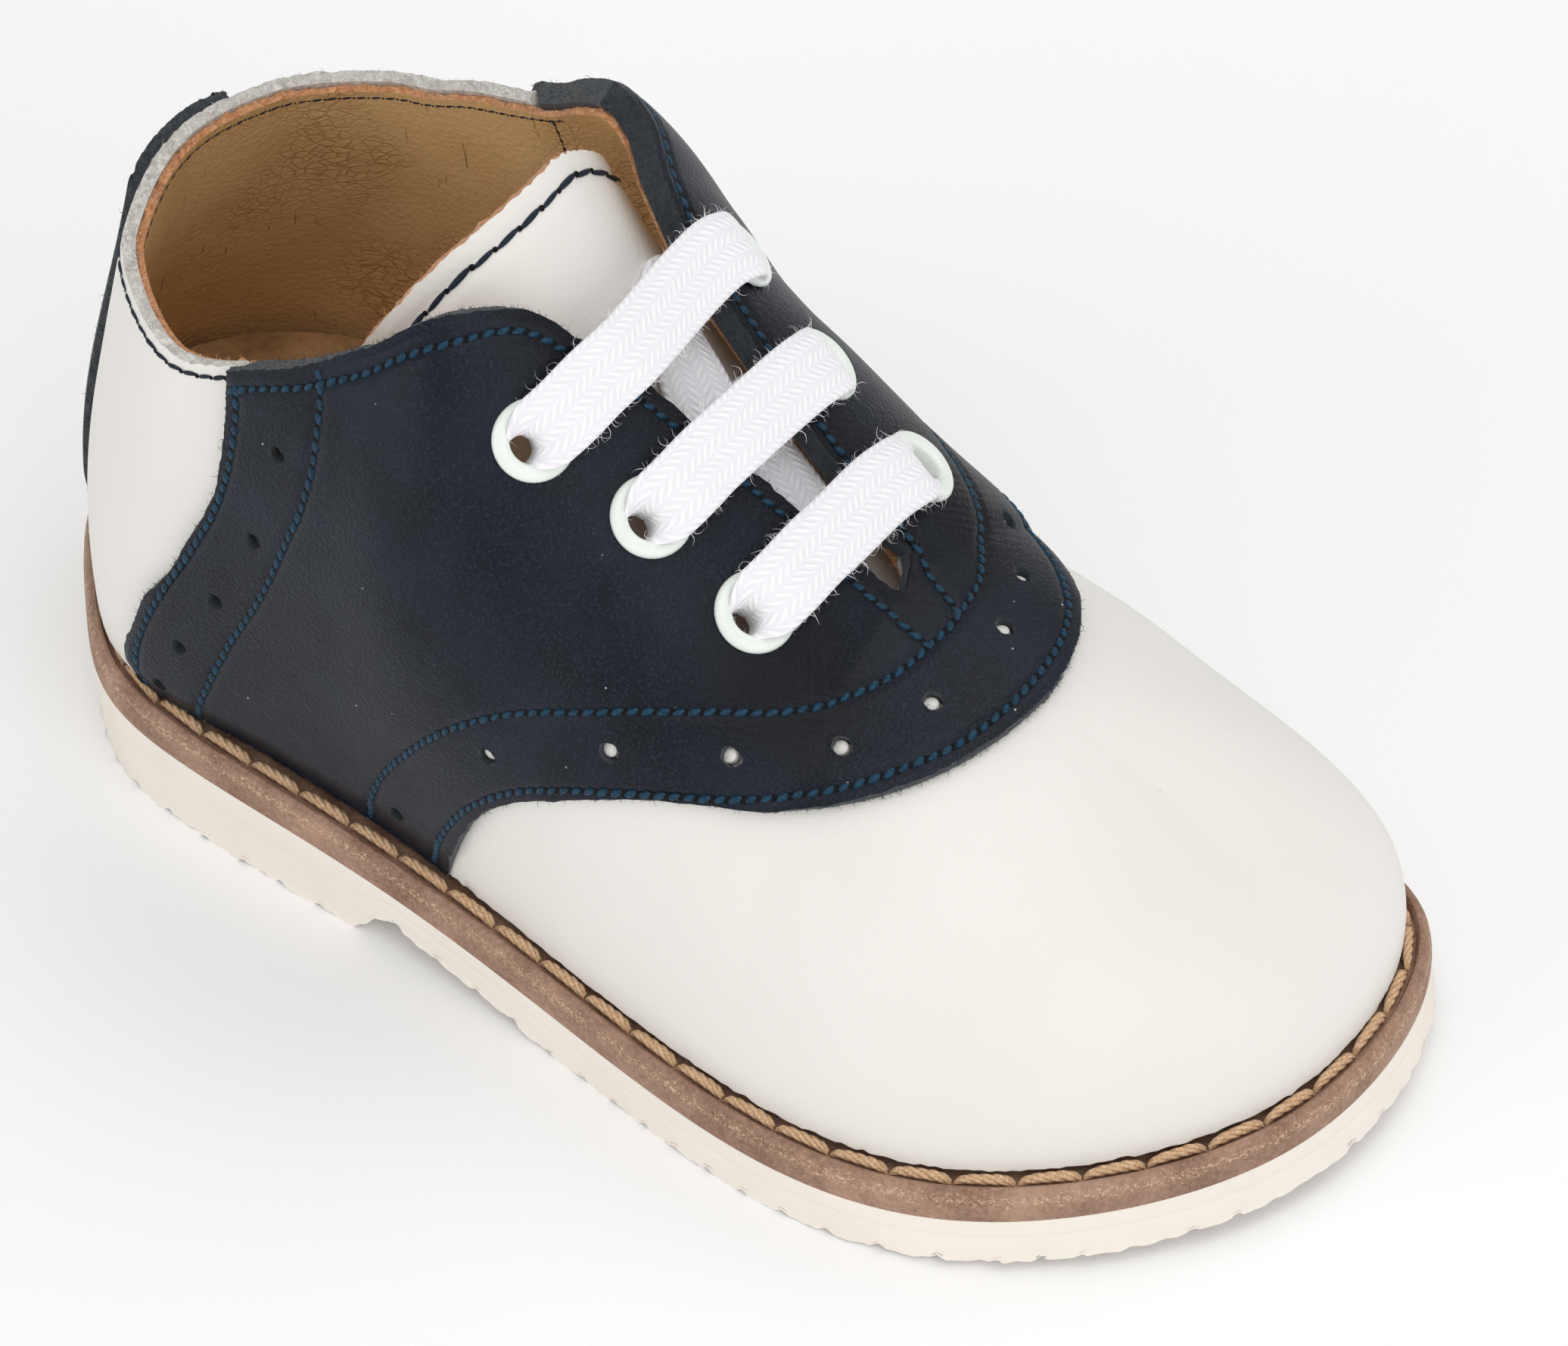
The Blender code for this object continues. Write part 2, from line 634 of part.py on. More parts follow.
def make_eyelets():
    """Six turned eyelets: a rounded flange on the saddle and a barrel through to the lining."""
    bottom = GAP - ON_SADDLE - WALL
    barrel = EYELET_BORE + BARREL_WALL
    profile = (
        (EYELET_BORE, 0.6 * EYELET_HEIGHT),
        (0.5 * (EYELET_BORE + EYELET_RADIUS), EYELET_HEIGHT),
        (0.95 * EYELET_RADIUS, 0.7 * EYELET_HEIGHT),
        (EYELET_RADIUS, GAP),
        (barrel, GAP),
        (barrel, bottom),
        (EYELET_BORE, bottom),
    )

    def build(bm):
        points = [bm.verts.new((radius, 0, z)) for radius, z in profile]
        for first, second in zip(points, points[1:] + points[:1]):
            bm.edges.new((first, second))

    mesh = mesh_of("eyelet", build)
    for name, centre, normal in eyelet_frames():
        eyelet = add_object(name, mesh.copy(), "eyelet")
        eyelet.matrix_world = facing(centre, normal)
        screw = eyelet.modifiers.new("Turn", "SCREW")
        screw.steps = EYELET_STEPS
        screw.render_steps = EYELET_STEPS
        screw.use_merge_vertices = True
        screw.merge_threshold = 0.00001


def bar_path(number):
    """Middle line of a lace bar and the outward directions along it, from the outer to the inner eyelet."""
    along_outer, up_outer, along_inner, up_inner = EYELETS[number - 1]
    middle = (along_outer + along_inner) / 2
    at_edge = ON_SADDLE + LACE_LIFT + LACE_THICKNESS / 2
    places, normals = [], []
    for side, along, up in ((OUTER, along_outer, up_outer), (INNER, along_inner, up_inner)):
        at_eyelet = ON_SADDLE + eyelet_bump(side, along, up) + EYELET_HEIGHT + GAP + LACE_THICKNESS / 2
        share = np.linspace(0, 1, LACE_STEPS)
        q = along + (middle - along) * share
        t = up + (1 - up) * share
        lift = np.interp(share, FLANGE_REACH, (at_eyelet, at_edge))
        normal = upper_normal(side, q, t)
        place = upper_point(side, q, t) + normal * lift[:, None]
        order = 1 if side == OUTER else -1
        places.append(place[::order])
        normals.append(normal[::order])
    return np.vstack(places), np.vstack(normals)


def make_lace_bar(number):
    """Flat lace across the throat, with rounded edges."""
    places, normals = bar_path(number)
    runs = np.gradient(places, axis=0)
    widthwise = np.cross(runs, normals)
    widthwise /= np.linalg.norm(widthwise, axis=1)[:, None]
    out = np.cross(widthwise, runs)
    out /= np.linalg.norm(out, axis=1)[:, None]
    half, thick = LACE_WIDTH / 2, LACE_THICKNESS / 2
    rounding = 0.6 * thick
    corners = (
        (half, thick - rounding), (half - rounding, thick),
        (rounding - half, thick), (-half, thick - rounding),
        (-half, rounding - thick), (rounding - half, -thick),
        (half - rounding, -thick), (half, rounding - thick),
    )

    def build(bm):
        loops = []
        for place, wide, high in zip(places, widthwise, out):
            loops.append([bm.verts.new(place + wide * a + high * b) for a, b in corners])
        for first, second in zip(loops, loops[1:]):
            for i in range(len(corners)):
                j = (i + 1) % len(corners)
                bm.faces.new((first[i], first[j], second[j], second[i]))
        bm.faces.new(loops[0][::-1])
        bm.faces.new(loops[-1])
        bmesh.ops.recalc_face_normals(bm, faces=bm.faces)

    add_object(f"lace_bar_{number}", mesh_of("lace_bar", build), "lace")


make_outsole()
make_welt()
make_insole()
bores = make_eyelet_cutter()
make_upper(bores)
make_saddle(bores)
make_backstay()
make_tongue()
make_eyelets()
for bar_number in range(1, len(EYELETS) + 1):
    make_lace_bar(bar_number)
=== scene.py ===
# %% [markdown]
# A child's saddle shoe, dressed over its imported solids. The solids give the sizes and the places. This file
# gives the looks: leather with cut edges, rows of stitches, punch holes, a woven lace and a cord-stitched
# welt. The frame is loaded first.

# %% Load the imported frame
import math

import bmesh
import bpy
import numpy as np
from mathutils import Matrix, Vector
from mathutils.kdtree import KDTree


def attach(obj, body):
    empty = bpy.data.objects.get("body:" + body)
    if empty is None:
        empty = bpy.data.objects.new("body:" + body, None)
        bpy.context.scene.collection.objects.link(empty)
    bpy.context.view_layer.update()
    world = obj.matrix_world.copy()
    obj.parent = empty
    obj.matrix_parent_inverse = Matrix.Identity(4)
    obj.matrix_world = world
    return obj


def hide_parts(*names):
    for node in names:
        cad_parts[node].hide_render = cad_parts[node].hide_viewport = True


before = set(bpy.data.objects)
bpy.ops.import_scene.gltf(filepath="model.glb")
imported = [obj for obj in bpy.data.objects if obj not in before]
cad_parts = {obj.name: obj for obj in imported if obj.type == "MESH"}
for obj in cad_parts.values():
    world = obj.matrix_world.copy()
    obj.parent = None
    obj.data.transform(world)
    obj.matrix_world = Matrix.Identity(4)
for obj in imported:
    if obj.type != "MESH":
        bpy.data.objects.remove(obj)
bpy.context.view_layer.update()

# %% [markdown]
# Leather shoes are drawn over a last, a wooden foot. Every piece here lies on one surface that stands for
# that last, so the surface comes first: an outline of the sole seen from above, and a table of sections
# from heel to toe. It repeats the values of the solids, in metres, with +X to the toe and +Y to the inner
# side of the foot.

# %% Sizes of the last and the sole
LENGTH = 0.148
BALL_WIDTH = 0.067
BACK_HEIGHT = 0.0632
INSTEP_HEIGHT = 0.0738
HEEL_THICKNESS = 0.0096
FOREFOOT_THICKNESS = 0.0051
TOE_SPRING = 0.0028
HEEL_TAPER = 0.0013
HEEL_TAPER_END = 0.42
FOREFOOT_FLARE = 0.0006
FLARE_SPAN = (0.5, 0.8)
SHANK_PLACE = 0.40
SHANK_SPREAD = 0.06
SPRING_START = 0.68
GAP = 0.0003
WELT_THICKNESS = 0.0038
WELT_SHOW = 0.00275
THROAT_END = 0.625
RIDGE_LEAN = (30.0, 70.0)
OUTER = 0
INNER = 1

# %% Outline of the welt: share of LENGTH from the heel, share of BALL_WIDTH toward the inner side
OUTLINE = {
    "heel back": (0.016, 0.020),
    "heel round, outer": (0.076, -0.221),
    "heel side, outer": (0.155, -0.361),
    "waist, outer": (0.425, -0.425),
    "ball, outer": (0.657, -0.513),
    "little toe": (0.826, -0.476),
    "toe corner, outer": (0.957, -0.236),
    "toe tip": (1.000, 0.045),
    "toe corner, inner": (0.957, 0.351),
    "big toe": (0.822, 0.443),
    "ball, inner": (0.670, 0.476),
    "waist, inner": (0.414, 0.373),
    "heel side, inner": (0.184, 0.358),
    "heel round, inner": (0.063, 0.238),
}
TOE_TIP = list(OUTLINE).index("toe tip")

# %% Sections of the upper from the centre back to the toe
# along: share of the way along the foot of the upper; top_x: share of LENGTH; centre_y, outer, inner: middle
# of the opening and its half-widths; of_back, of_instep: height of the top edge; slope: fall of the ridge;
# foot_in: extra inset of the foot; leans in degrees; pulls in chord lengths; reach: how far a column
# runs past its top point. INNER_RISE is what the inner side adds to the height, in metres.
SECTION_COLUMNS = ("along", "top_x", "centre_y", "outer", "inner", "of_back", "of_instep", "slope", "foot_in",
                   "foot_lean", "top_lean", "foot_pull", "top_pull", "reach")
SECTIONS = (
    (0.000, 0.089, 0.004, 0.000, 0.000, 1.000, 0.000, 0.00, -0.0017, 2, 11, 0.34, 0.34, 1.000),
    (0.100, 0.106, 0.002, 0.172, 0.184, 0.965, 0.000, 0.00, -0.0017, 5, 10, 0.34, 0.34, 1.000),
    (0.190, 0.189, 0.000, 0.293, 0.310, 0.911, 0.000, 0.00, -0.0004, 4, 10, 0.34, 0.34, 1.000),
    (0.270, 0.265, 0.004, 0.293, 0.296, 0.989, 0.000, 0.00, 0.0009, 5, 14, 0.36, 0.34, 1.000),
    (0.340, 0.332, 0.006, 0.270, 0.260, 1.081, 0.000, 0.00, 0.0009, 6, 27, 0.40, 0.36, 1.008),
    (0.385, 0.376, 0.007, 0.237, 0.231, 0.000, 0.970, -0.30, 0.0007, 6, 40, 0.42, 0.38, 1.035),
    (0.420, 0.407, 0.007, 0.191, 0.185, 0.000, 0.958, -0.50, 0.0004, 6, 52, 0.44, 0.38, 1.050),
    (0.455, 0.443, 0.007, 0.133, 0.124, 0.000, 0.923, -0.60, 0.0002, 6, 64, 0.45, 0.38, 1.028),
    (0.500, 0.497, 0.007, 0.066, 0.066, 0.000, 0.852, -0.65, 0.0000, 6, 76, 0.46, 0.40, 1.007),
    (0.560, 0.571, 0.007, 0.025, 0.024, 0.000, 0.743, -0.65, 0.0000, 6, 85, 0.46, 0.40, 1.000),
    (0.612, 0.634, 0.007, 0.013, 0.013, 0.000, 0.649, -0.55, 0.0000, 6, 89, 0.46, 0.40, 1.000),
    (0.625, 0.649, 0.007, 0.000, 0.000, 0.000, 0.627, -0.50, 0.0000, 6, 90, 0.46, 0.40, 1.000),
    (0.700, 0.715, 0.010, 0.000, 0.000, 0.000, 0.592, -0.26, 0.0000, 6, 90, 0.45, 0.40, 1.000),
    (0.800, 0.778, 0.013, 0.000, 0.000, 0.000, 0.556, -0.34, 0.0000, 6, 90, 0.44, 0.40, 1.000),
    (0.900, 0.826, 0.018, 0.000, 0.000, 0.000, 0.512, -0.50, 0.0000, 6, 90, 0.43, 0.40, 1.000),
    (1.000, 0.846, 0.022, 0.000, 0.000, 0.000, 0.489, -0.58, 0.0000, 6, 90, 0.43, 0.40, 1.000),
)
INNER_RISE = (
    (0.000, 0.0000), (0.100, 0.0010), (0.190, 0.0050), (0.230, 0.0057), (0.270, 0.0049), (0.310, 0.0045),
    (0.345, 0.0054), (0.365, 0.0050), (0.390, 0.0034), (0.420, 0.0010), (0.455, -0.0002), (0.500, 0.0000),
    (1.000, 0.0000),
)


# %% Curves through the tables
def closed_spline(points):
    """Smooth closed cubic through points, as a function from knot numbers to places and directions."""
    count = len(points)
    steps = np.sqrt(np.linalg.norm(np.roll(points, -1, 0) - points, axis=1))
    matrix = np.zeros((count, count))
    right = np.zeros_like(points)
    for i in range(count):
        before, after = steps[i - 1], steps[i]
        matrix[i, i - 1] += before
        matrix[i, i] += 2 * (before + after)
        matrix[i, (i + 1) % count] += after
        right[i] = 6 * ((points[(i + 1) % count] - points[i]) / after - (points[i] - points[i - 1]) / before)
    bend = np.linalg.solve(matrix, right)

    def at(knot):
        k = np.floor(knot).astype(int) % count
        h = steps[k][:, None]
        s = (knot - np.floor(knot))[:, None] * h
        r = h - s
        start = points[k] / h - bend[k] * h / 6
        end = points[(k + 1) % count] / h - bend[(k + 1) % count] * h / 6
        place = (bend[k] * r**3 + bend[(k + 1) % count] * s**3) / (6 * h) + start * r + end * s
        direction = (bend[(k + 1) % count] * s**2 - bend[k] * r**2) / (2 * h) - start + end
        return place, direction

    return at


def monotone(xs, ys, x):
    """Monotone cubic interpolation, so that rows of a table never overshoot."""
    xs, ys, x = (np.asarray(v, float) for v in (xs, ys, x))
    widths = np.diff(xs)
    rates = np.diff(ys) / widths
    slopes = np.zeros(len(xs))
    slopes[0], slopes[-1] = rates[0], rates[-1]
    for i in range(1, len(xs) - 1):
        if rates[i - 1] * rates[i] > 0:
            a = 2 * widths[i] + widths[i - 1]
            b = widths[i] + 2 * widths[i - 1]
            slopes[i] = (a + b) / (a / rates[i - 1] + b / rates[i])
    k = np.clip(np.searchsorted(xs, x, side="right") - 1, 0, len(widths) - 1)
    s = (x - xs[k]) / widths[k]
    r = 1 - s
    rise = r * r * ((1 + 2 * s) * ys[k] + s * widths[k] * slopes[k])
    return rise + s * s * ((3 - 2 * s) * ys[k + 1] - r * widths[k] * slopes[k + 1])


# %% Outline of the sole as two halves
def outline_halves():
    """Outer and inner halves of the welt outline from heel to toe: fine points and outward normals."""
    shares = np.array(list(OUTLINE.values()))
    spline = closed_spline((shares - (0.5, 0.0)) * (LENGTH, BALL_WIDTH))
    halves = []
    for first in (0, len(shares)):
        places, directions = spline(np.linspace(first, TOE_TIP, 1200))
        normals = np.stack([directions[:, 1], -directions[:, 0]], 1)
        normals /= np.linalg.norm(normals, axis=1)[:, None]
        halves.append((places, normals))
    every = np.vstack([places for places, _ in halves])
    middle = (every.min(0) + every.max(0)) / 2 + (FOREFOOT_FLARE / 2, 0)
    return [(places - middle, normals) for places, normals in halves], middle


HALVES, MIDDLE = outline_halves()
HEEL_X = -LENGTH / 2 - MIDDLE[0]


def on_outline(side, along, inset):
    """Points and outward normals of the outline brought in by an inset, at shares of the line's length."""
    places, normals = HALVES[side]
    line = places - normals * WELT_SHOW
    run = np.concatenate([[0], np.cumsum(np.linalg.norm(np.diff(line, axis=0), axis=1))])
    run /= run[-1]
    normal = np.stack([np.interp(along, run, normals[:, i]) for i in (0, 1)], -1)
    normal /= np.linalg.norm(normal, axis=-1)[..., None]
    point = np.stack([np.interp(along, run, places[:, i]) for i in (0, 1)], -1)
    return point - normal * np.asarray(inset)[..., None], normal


# %% Heights of the sole
def sole_share(x):
    return np.clip((x - HEEL_X) / LENGTH, 0, 1)


def toe_lift(x):
    return np.clip((sole_share(x) - SPRING_START) / (1 - SPRING_START), 0, 1) ** 2 * TOE_SPRING


def sole_top(x):
    """Height of the joint between outsole and welt."""
    heel = 1 / (1 + np.exp((sole_share(x) - SHANK_PLACE) / SHANK_SPREAD))
    return FOREFOOT_THICKNESS + (HEEL_THICKNESS - FOREFOOT_THICKNESS) * heel + toe_lift(x)


def welt_top(x):
    return sole_top(x) + WELT_THICKNESS


# %% Surface of the last
def section(column, along):
    """A column of SECTIONS between its rows; heel and toe are turning points of both halves."""
    rows = np.array(SECTIONS)
    columns = dict(zip(SECTION_COLUMNS, rows.T))
    columns["height"] = columns["of_back"] * BACK_HEIGHT + columns["of_instep"] * INSTEP_HEIGHT
    q, y = columns["along"], columns[column]
    hand = -1 if column in ("outer", "inner") else 1
    return monotone(np.r_[-q[3:0:-1], q, 2 - q[-2:-5:-1]], np.r_[hand * y[3:0:-1], y, y[-2:-5:-1]], along)


def upper_point(side, along, up):
    """Outside of the upper at shares along and up: a cubic column from foot to top edge."""
    along, up = np.broadcast_arrays(np.asarray(along, float), np.asarray(up, float))
    shape = along.shape
    along, up = along.ravel(), up.ravel()
    hand = 1 if side == INNER else -1
    plan, normal = on_outline(side, along, WELT_SHOW + section("foot_in", along))
    foot = np.c_[plan, welt_top(plan[:, 0]) + GAP]
    half = section("inner" if side == INNER else "outer", along) * BALL_WIDTH
    height = section("height", along)
    if side == INNER:
        height = height + monotone(*np.array(INNER_RISE).T, along)
    top_x = HEEL_X + section("top_x", along) * LENGTH
    top_y = section("centre_y", along) * BALL_WIDTH + hand * half - MIDDLE[1]
    top = np.c_[top_x, top_y, height]
    foot_lean = np.radians(section("foot_lean", along))
    top_lean = np.radians(section("top_lean", along))
    inward = top[:, :2] - plan
    inward /= np.maximum(np.linalg.norm(inward, axis=1), 1e-6)[:, None]
    ridge = np.clip((np.degrees(top_lean) - RIDGE_LEAN[0]) / (RIDGE_LEAN[1] - RIDGE_LEAN[0]), 0, 1)[:, None]
    inward = inward * ridge - normal * (1 - ridge)
    inward /= np.linalg.norm(inward, axis=1)[:, None]
    rising = np.c_[normal * np.sin(foot_lean)[:, None], np.cos(foot_lean)]
    fall = section("slope", along) * inward[:, 0] * np.sin(top_lean)
    arriving = np.c_[inward * np.sin(top_lean)[:, None], np.cos(top_lean) + fall]
    arriving /= np.linalg.norm(arriving, axis=1)[:, None]
    chord = np.linalg.norm(top - foot, axis=1)[:, None]
    low = foot + rising * chord * section("foot_pull", along)[:, None]
    high = top - arriving * chord * section("top_pull", along)[:, None]
    s = (up * section("reach", along))[:, None]
    r = 1 - s
    return (r**3 * foot + 3 * r * r * s * low + 3 * r * s * s * high + s**3 * top).reshape(shape + (3,))


def upper_normal(side, along, up, step=0.002):
    """Outward unit normal of the upper, by small steps along and up."""
    along, up = np.broadcast_arrays(np.asarray(along, float), np.asarray(up, float))
    ahead = upper_point(side, np.minimum(along + step, 1), up)
    behind = upper_point(side, np.maximum(along - step, 0), up)
    above = upper_point(side, along, np.minimum(up + step, 1))
    below = upper_point(side, along, np.maximum(up - step, 0))
    normal = np.cross(ahead - behind, above - below)
    normal /= np.linalg.norm(normal, axis=-1)[..., None]
    return normal if side == OUTER else -normal


def over_upper(side, along, up, lift):
    return upper_point(side, along, up) + upper_normal(side, along, up) * np.asarray(lift)[..., None]


print("last", round(LENGTH * 1000), "mm long,", round(upper_point(OUTER, 0.0, 1.0)[2] * 1000, 1),
      "mm high at the back")

# %% [markdown]
# The camera stands where the photographer stood: high on the outer side, looking down at the lace. A long
# lens from about a metre away keeps the outlines nearly parallel. Its direction comes from fitting the
# sole's outline and the eyelets, and it aims at the middle of the one shoe that is built.

# %% Camera
CAMERA_PLACE = Vector((0.440745, -0.648881, 0.831200))
CAMERA_AIM = Vector((0.0060, 0.0045, 0.0260))
LENS = 270.0

scene = bpy.context.scene
camera = bpy.data.objects.new("camera", bpy.data.cameras.new("camera"))
scene.collection.objects.link(camera)
camera.location = CAMERA_PLACE
camera.rotation_euler = (CAMERA_AIM - CAMERA_PLACE).to_track_quat("-Z", "Y").to_euler()
camera.data.lens = LENS
camera.data.sensor_width = 36.0
camera.data.clip_start = 0.05
scene.camera = camera
print("camera", round((CAMERA_AIM - CAMERA_PLACE).length, 3), "m away, lens", LENS, "mm")

# %% [markdown]
# Materials are node trees, and four helpers serve all of them. The first turns the sRGB hex value that the
# eye reads off a colour chart into the linear value that Blender mixes light with, and the second adds one
# node with its settings and links. The others start a material and link its colour and bump. Sizes of
# patterns are worked out from millimetres: a noise of scale 1000 repeats about once a millimetre.

# %% Helpers for node trees
MM = 0.001


def linear(code):
    """Linear RGBA of an sRGB hex value."""
    values = [int(code[i:i + 2], 16) / 255 for i in (1, 3, 5)]
    return (*[v / 12.92 if v <= 0.04045 else ((v + 0.055) / 1.055) ** 2.4 for v in values], 1.0)


def add(tree, kind, inputs=None, **settings):
    """Adds a node: settings by name, inputs by name or number, each a value or another node's socket."""
    made = tree.nodes.new(kind)
    for name, value in settings.items():
        setattr(made, name, value)
    for key, value in (inputs or {}).items():
        if isinstance(value, bpy.types.NodeSocket):
            tree.links.new(value, made.inputs[key])
        else:
            made.inputs[key].default_value = value
    return made


def new_material(name, **sockets):
    """Material with values on its shader; gives it, its tree, the shader's inputs and the place."""
    made = bpy.data.materials.new(name)
    made.use_nodes = True
    tree = made.node_tree
    shader = tree.nodes["Principled BSDF"].inputs
    for socket, value in sockets.items():
        shader[socket.replace("_", " ").title().replace("Ior", "IOR")].default_value = value
    return made, tree, shader, add(tree, "ShaderNodeTexCoord").outputs["Object"]


def link_surface(tree, shader, colour, height, strength, depth):
    """Links a colour to the shader, and a height as the bump of its surface."""
    tree.links.new(colour, shader["Base Color"])
    bump = add(tree, "ShaderNodeBump", {"Height": height, "Strength": strength, "Distance": depth})
    tree.links.new(bump.outputs[0], shader["Normal"])


# %% [markdown]
# The vamp and the heel quarters are smooth white calf leather with a pigment finish: almost no grain shows,
# only a fine pebble of about half a millimetre that breaks the highlight, and a slight warm and cool drift.

# %% White calf leather
def make_white_leather():
    made, tree, shader, place = new_material("white_calf_leather", roughness=0.46, ior=1.46)
    drift = add(tree, "ShaderNodeTexNoise", {"Vector": place, "Scale": 45.0, "Detail": 3.0}).outputs[0]
    colour = add(tree, "ShaderNodeMix",
                 {0: drift, 6: linear("#E2DFD9"), 7: linear("#EAE7E2")}, data_type="RGBA")
    pebble = add(tree, "ShaderNodeTexVoronoi",
                 {"Vector": place, "Scale": 1 / (0.55 * MM)}).outputs["Distance"]
    fine = add(tree, "ShaderNodeTexNoise",
               {"Vector": place, "Scale": 1 / (0.8 * MM), "Detail": 3.0}).outputs[0]
    height = add(tree, "ShaderNodeMath", {0: pebble, 1: fine}, operation="ADD").outputs[0]
    link_surface(tree, shader, colour.outputs[2], height, 0.22, 0.1 * MM)
    return made


white_leather = make_white_leather()


# %% [markdown]
# The saddle is navy leather with a polished finish. Its grain is a clear pebble, and the polish turns the
# white surroundings into a broad soft sheen. The colour is darker where the leather is creased, below the
# lowest eyelet and along the throat: painted shade, placed by a mark stored on the mesh. Specks of dust lie
# on it.

# %% Polished navy leather
def make_navy_leather():
    made, tree, shader, place = new_material("polished_navy_leather", specular_ior_level=0.17,
                                             coat_weight=0.03, coat_roughness=0.3)
    marks = add(tree, "ShaderNodeAttribute", attribute_name="marks").outputs["Vector"]
    parts = add(tree, "ShaderNodeSeparateXYZ", {0: marks}).outputs
    drift = add(tree, "ShaderNodeTexNoise", {"Vector": place, "Scale": 110.0, "Detail": 5.0}).outputs[0]
    drift = add(tree, "ShaderNodeMapRange", {"Value": drift, "From Min": 0.3, "From Max": 0.7}).outputs[0]
    colour = add(tree, "ShaderNodeMix",
                 {0: drift, 6: linear("#0C1018"), 7: linear("#181E29")}, data_type="RGBA")
    grain = add(tree, "ShaderNodeTexNoise",
                {"Vector": place, "Scale": 1 / (0.28 * MM), "Detail": 2.0}).outputs[0]
    grain = add(tree, "ShaderNodeMapRange", {"Value": grain, "From Min": 0.5, "From Max": 0.78}).outputs[0]
    # A lighter colour on the tips of the grain is a painted highlight, where the polish catches light.
    painted_grain_highlight = add(tree, "ShaderNodeMix", {0: grain, 6: colour.outputs[2], 7: linear("#262C37")}, data_type="RGBA")
    # Where the fold mark is high, the colour turns darker: painted shade in the creases.
    painted_crease_shade = add(tree, "ShaderNodeMix",
               {0: parts[0], 6: painted_grain_highlight.outputs[2], 7: linear("#080B12")}, data_type="RGBA")
    speck = add(tree, "ShaderNodeTexVoronoi", {"Vector": place, "Scale": 1 / (4.2 * MM)}).outputs["Distance"]
    speck = add(tree, "ShaderNodeMapRange", {"Value": speck, "From Min": 0.018, "From Max": 0.036,
                                             "To Min": 1.0, "To Max": 0.0}).outputs[0]
    dusty = add(tree, "ShaderNodeMix", {0: speck, 6: painted_crease_shade.outputs[2], 7: linear("#B9BCC0")}, data_type="RGBA")
    patchy = add(tree, "ShaderNodeTexNoise", {"Vector": place, "Scale": 160.0, "Detail": 3.0}).outputs[0]
    gloss = add(tree, "ShaderNodeMapRange", {"Value": patchy, "To Min": 0.34, "To Max": 0.48})
    tree.links.new(gloss.outputs[0], shader["Roughness"])
    pebble = add(tree, "ShaderNodeTexVoronoi",
                 {"Vector": place, "Scale": 1 / (0.38 * MM)}, feature="SMOOTH_F1").outputs["Distance"]
    fold = add(tree, "ShaderNodeTexWave", {"Vector": marks, "Scale": 0.45, "Distortion": 2.5, "Detail": 2.0,
                                           "Detail Scale": 0.6}, bands_direction="Y").outputs[1]
    fold = add(tree, "ShaderNodeMath", {0: fold, 1: parts[0]}, operation="MULTIPLY").outputs[0]
    height = add(tree, "ShaderNodeMath", {0: fold, 1: 0.55, 2: pebble}, operation="MULTIPLY_ADD").outputs[0]
    link_surface(tree, shader, dusty.outputs[2], height, 0.5, 0.14 * MM)
    return made


navy_leather = make_navy_leather()


# %% [markdown]
# Where leather is cut, its inside shows: matt, fibrous and uneven. The same recipe serves three cut edges,
# with colours from dark to light: navy leather dyed through, grey-white suede under the white leather, and
# the orange tan of the lining.

# %% Cut edges of leather
def make_cut_edge(name, dark, light, fibre):
    made, tree, shader, place = new_material(name, roughness=0.92, ior=1.45, sheen_weight=0.25,
                                             sheen_roughness=0.5)
    fibres = add(tree, "ShaderNodeTexNoise", {"Vector": place, "Scale": 1 / fibre, "Detail": 5.0,
                                              "Roughness": 0.7, "Distortion": 1.2}).outputs[0]
    share = add(tree, "ShaderNodeMapRange", {"Value": fibres, "From Min": 0.36, "From Max": 0.66}).outputs[0]
    colour = add(tree, "ShaderNodeMix", {0: share, 6: linear(dark), 7: linear(light)}, data_type="RGBA")
    link_surface(tree, shader, colour.outputs[2], fibres, 0.8, 0.3 * MM)
    return made


navy_edge = make_cut_edge("cut_edge_of_navy_leather", "#0B1016", "#2E3A42", 0.4 * MM)
white_edge = make_cut_edge("cut_edge_of_white_leather", "#B5B0A8", "#EAE6E0", 0.6 * MM)
tan_edge = make_cut_edge("cut_edge_of_tan_lining", "#AC6838", "#E6AE7D", 0.6 * MM)


# %% [markdown]
# The lining is thin tan leather, glued in and creased by the last. A net of fine cracks covers parts of it,
# and a few scratches stand upright near the heel. Both follow the surface, because the mesh stores how far
# along and up each point lies.

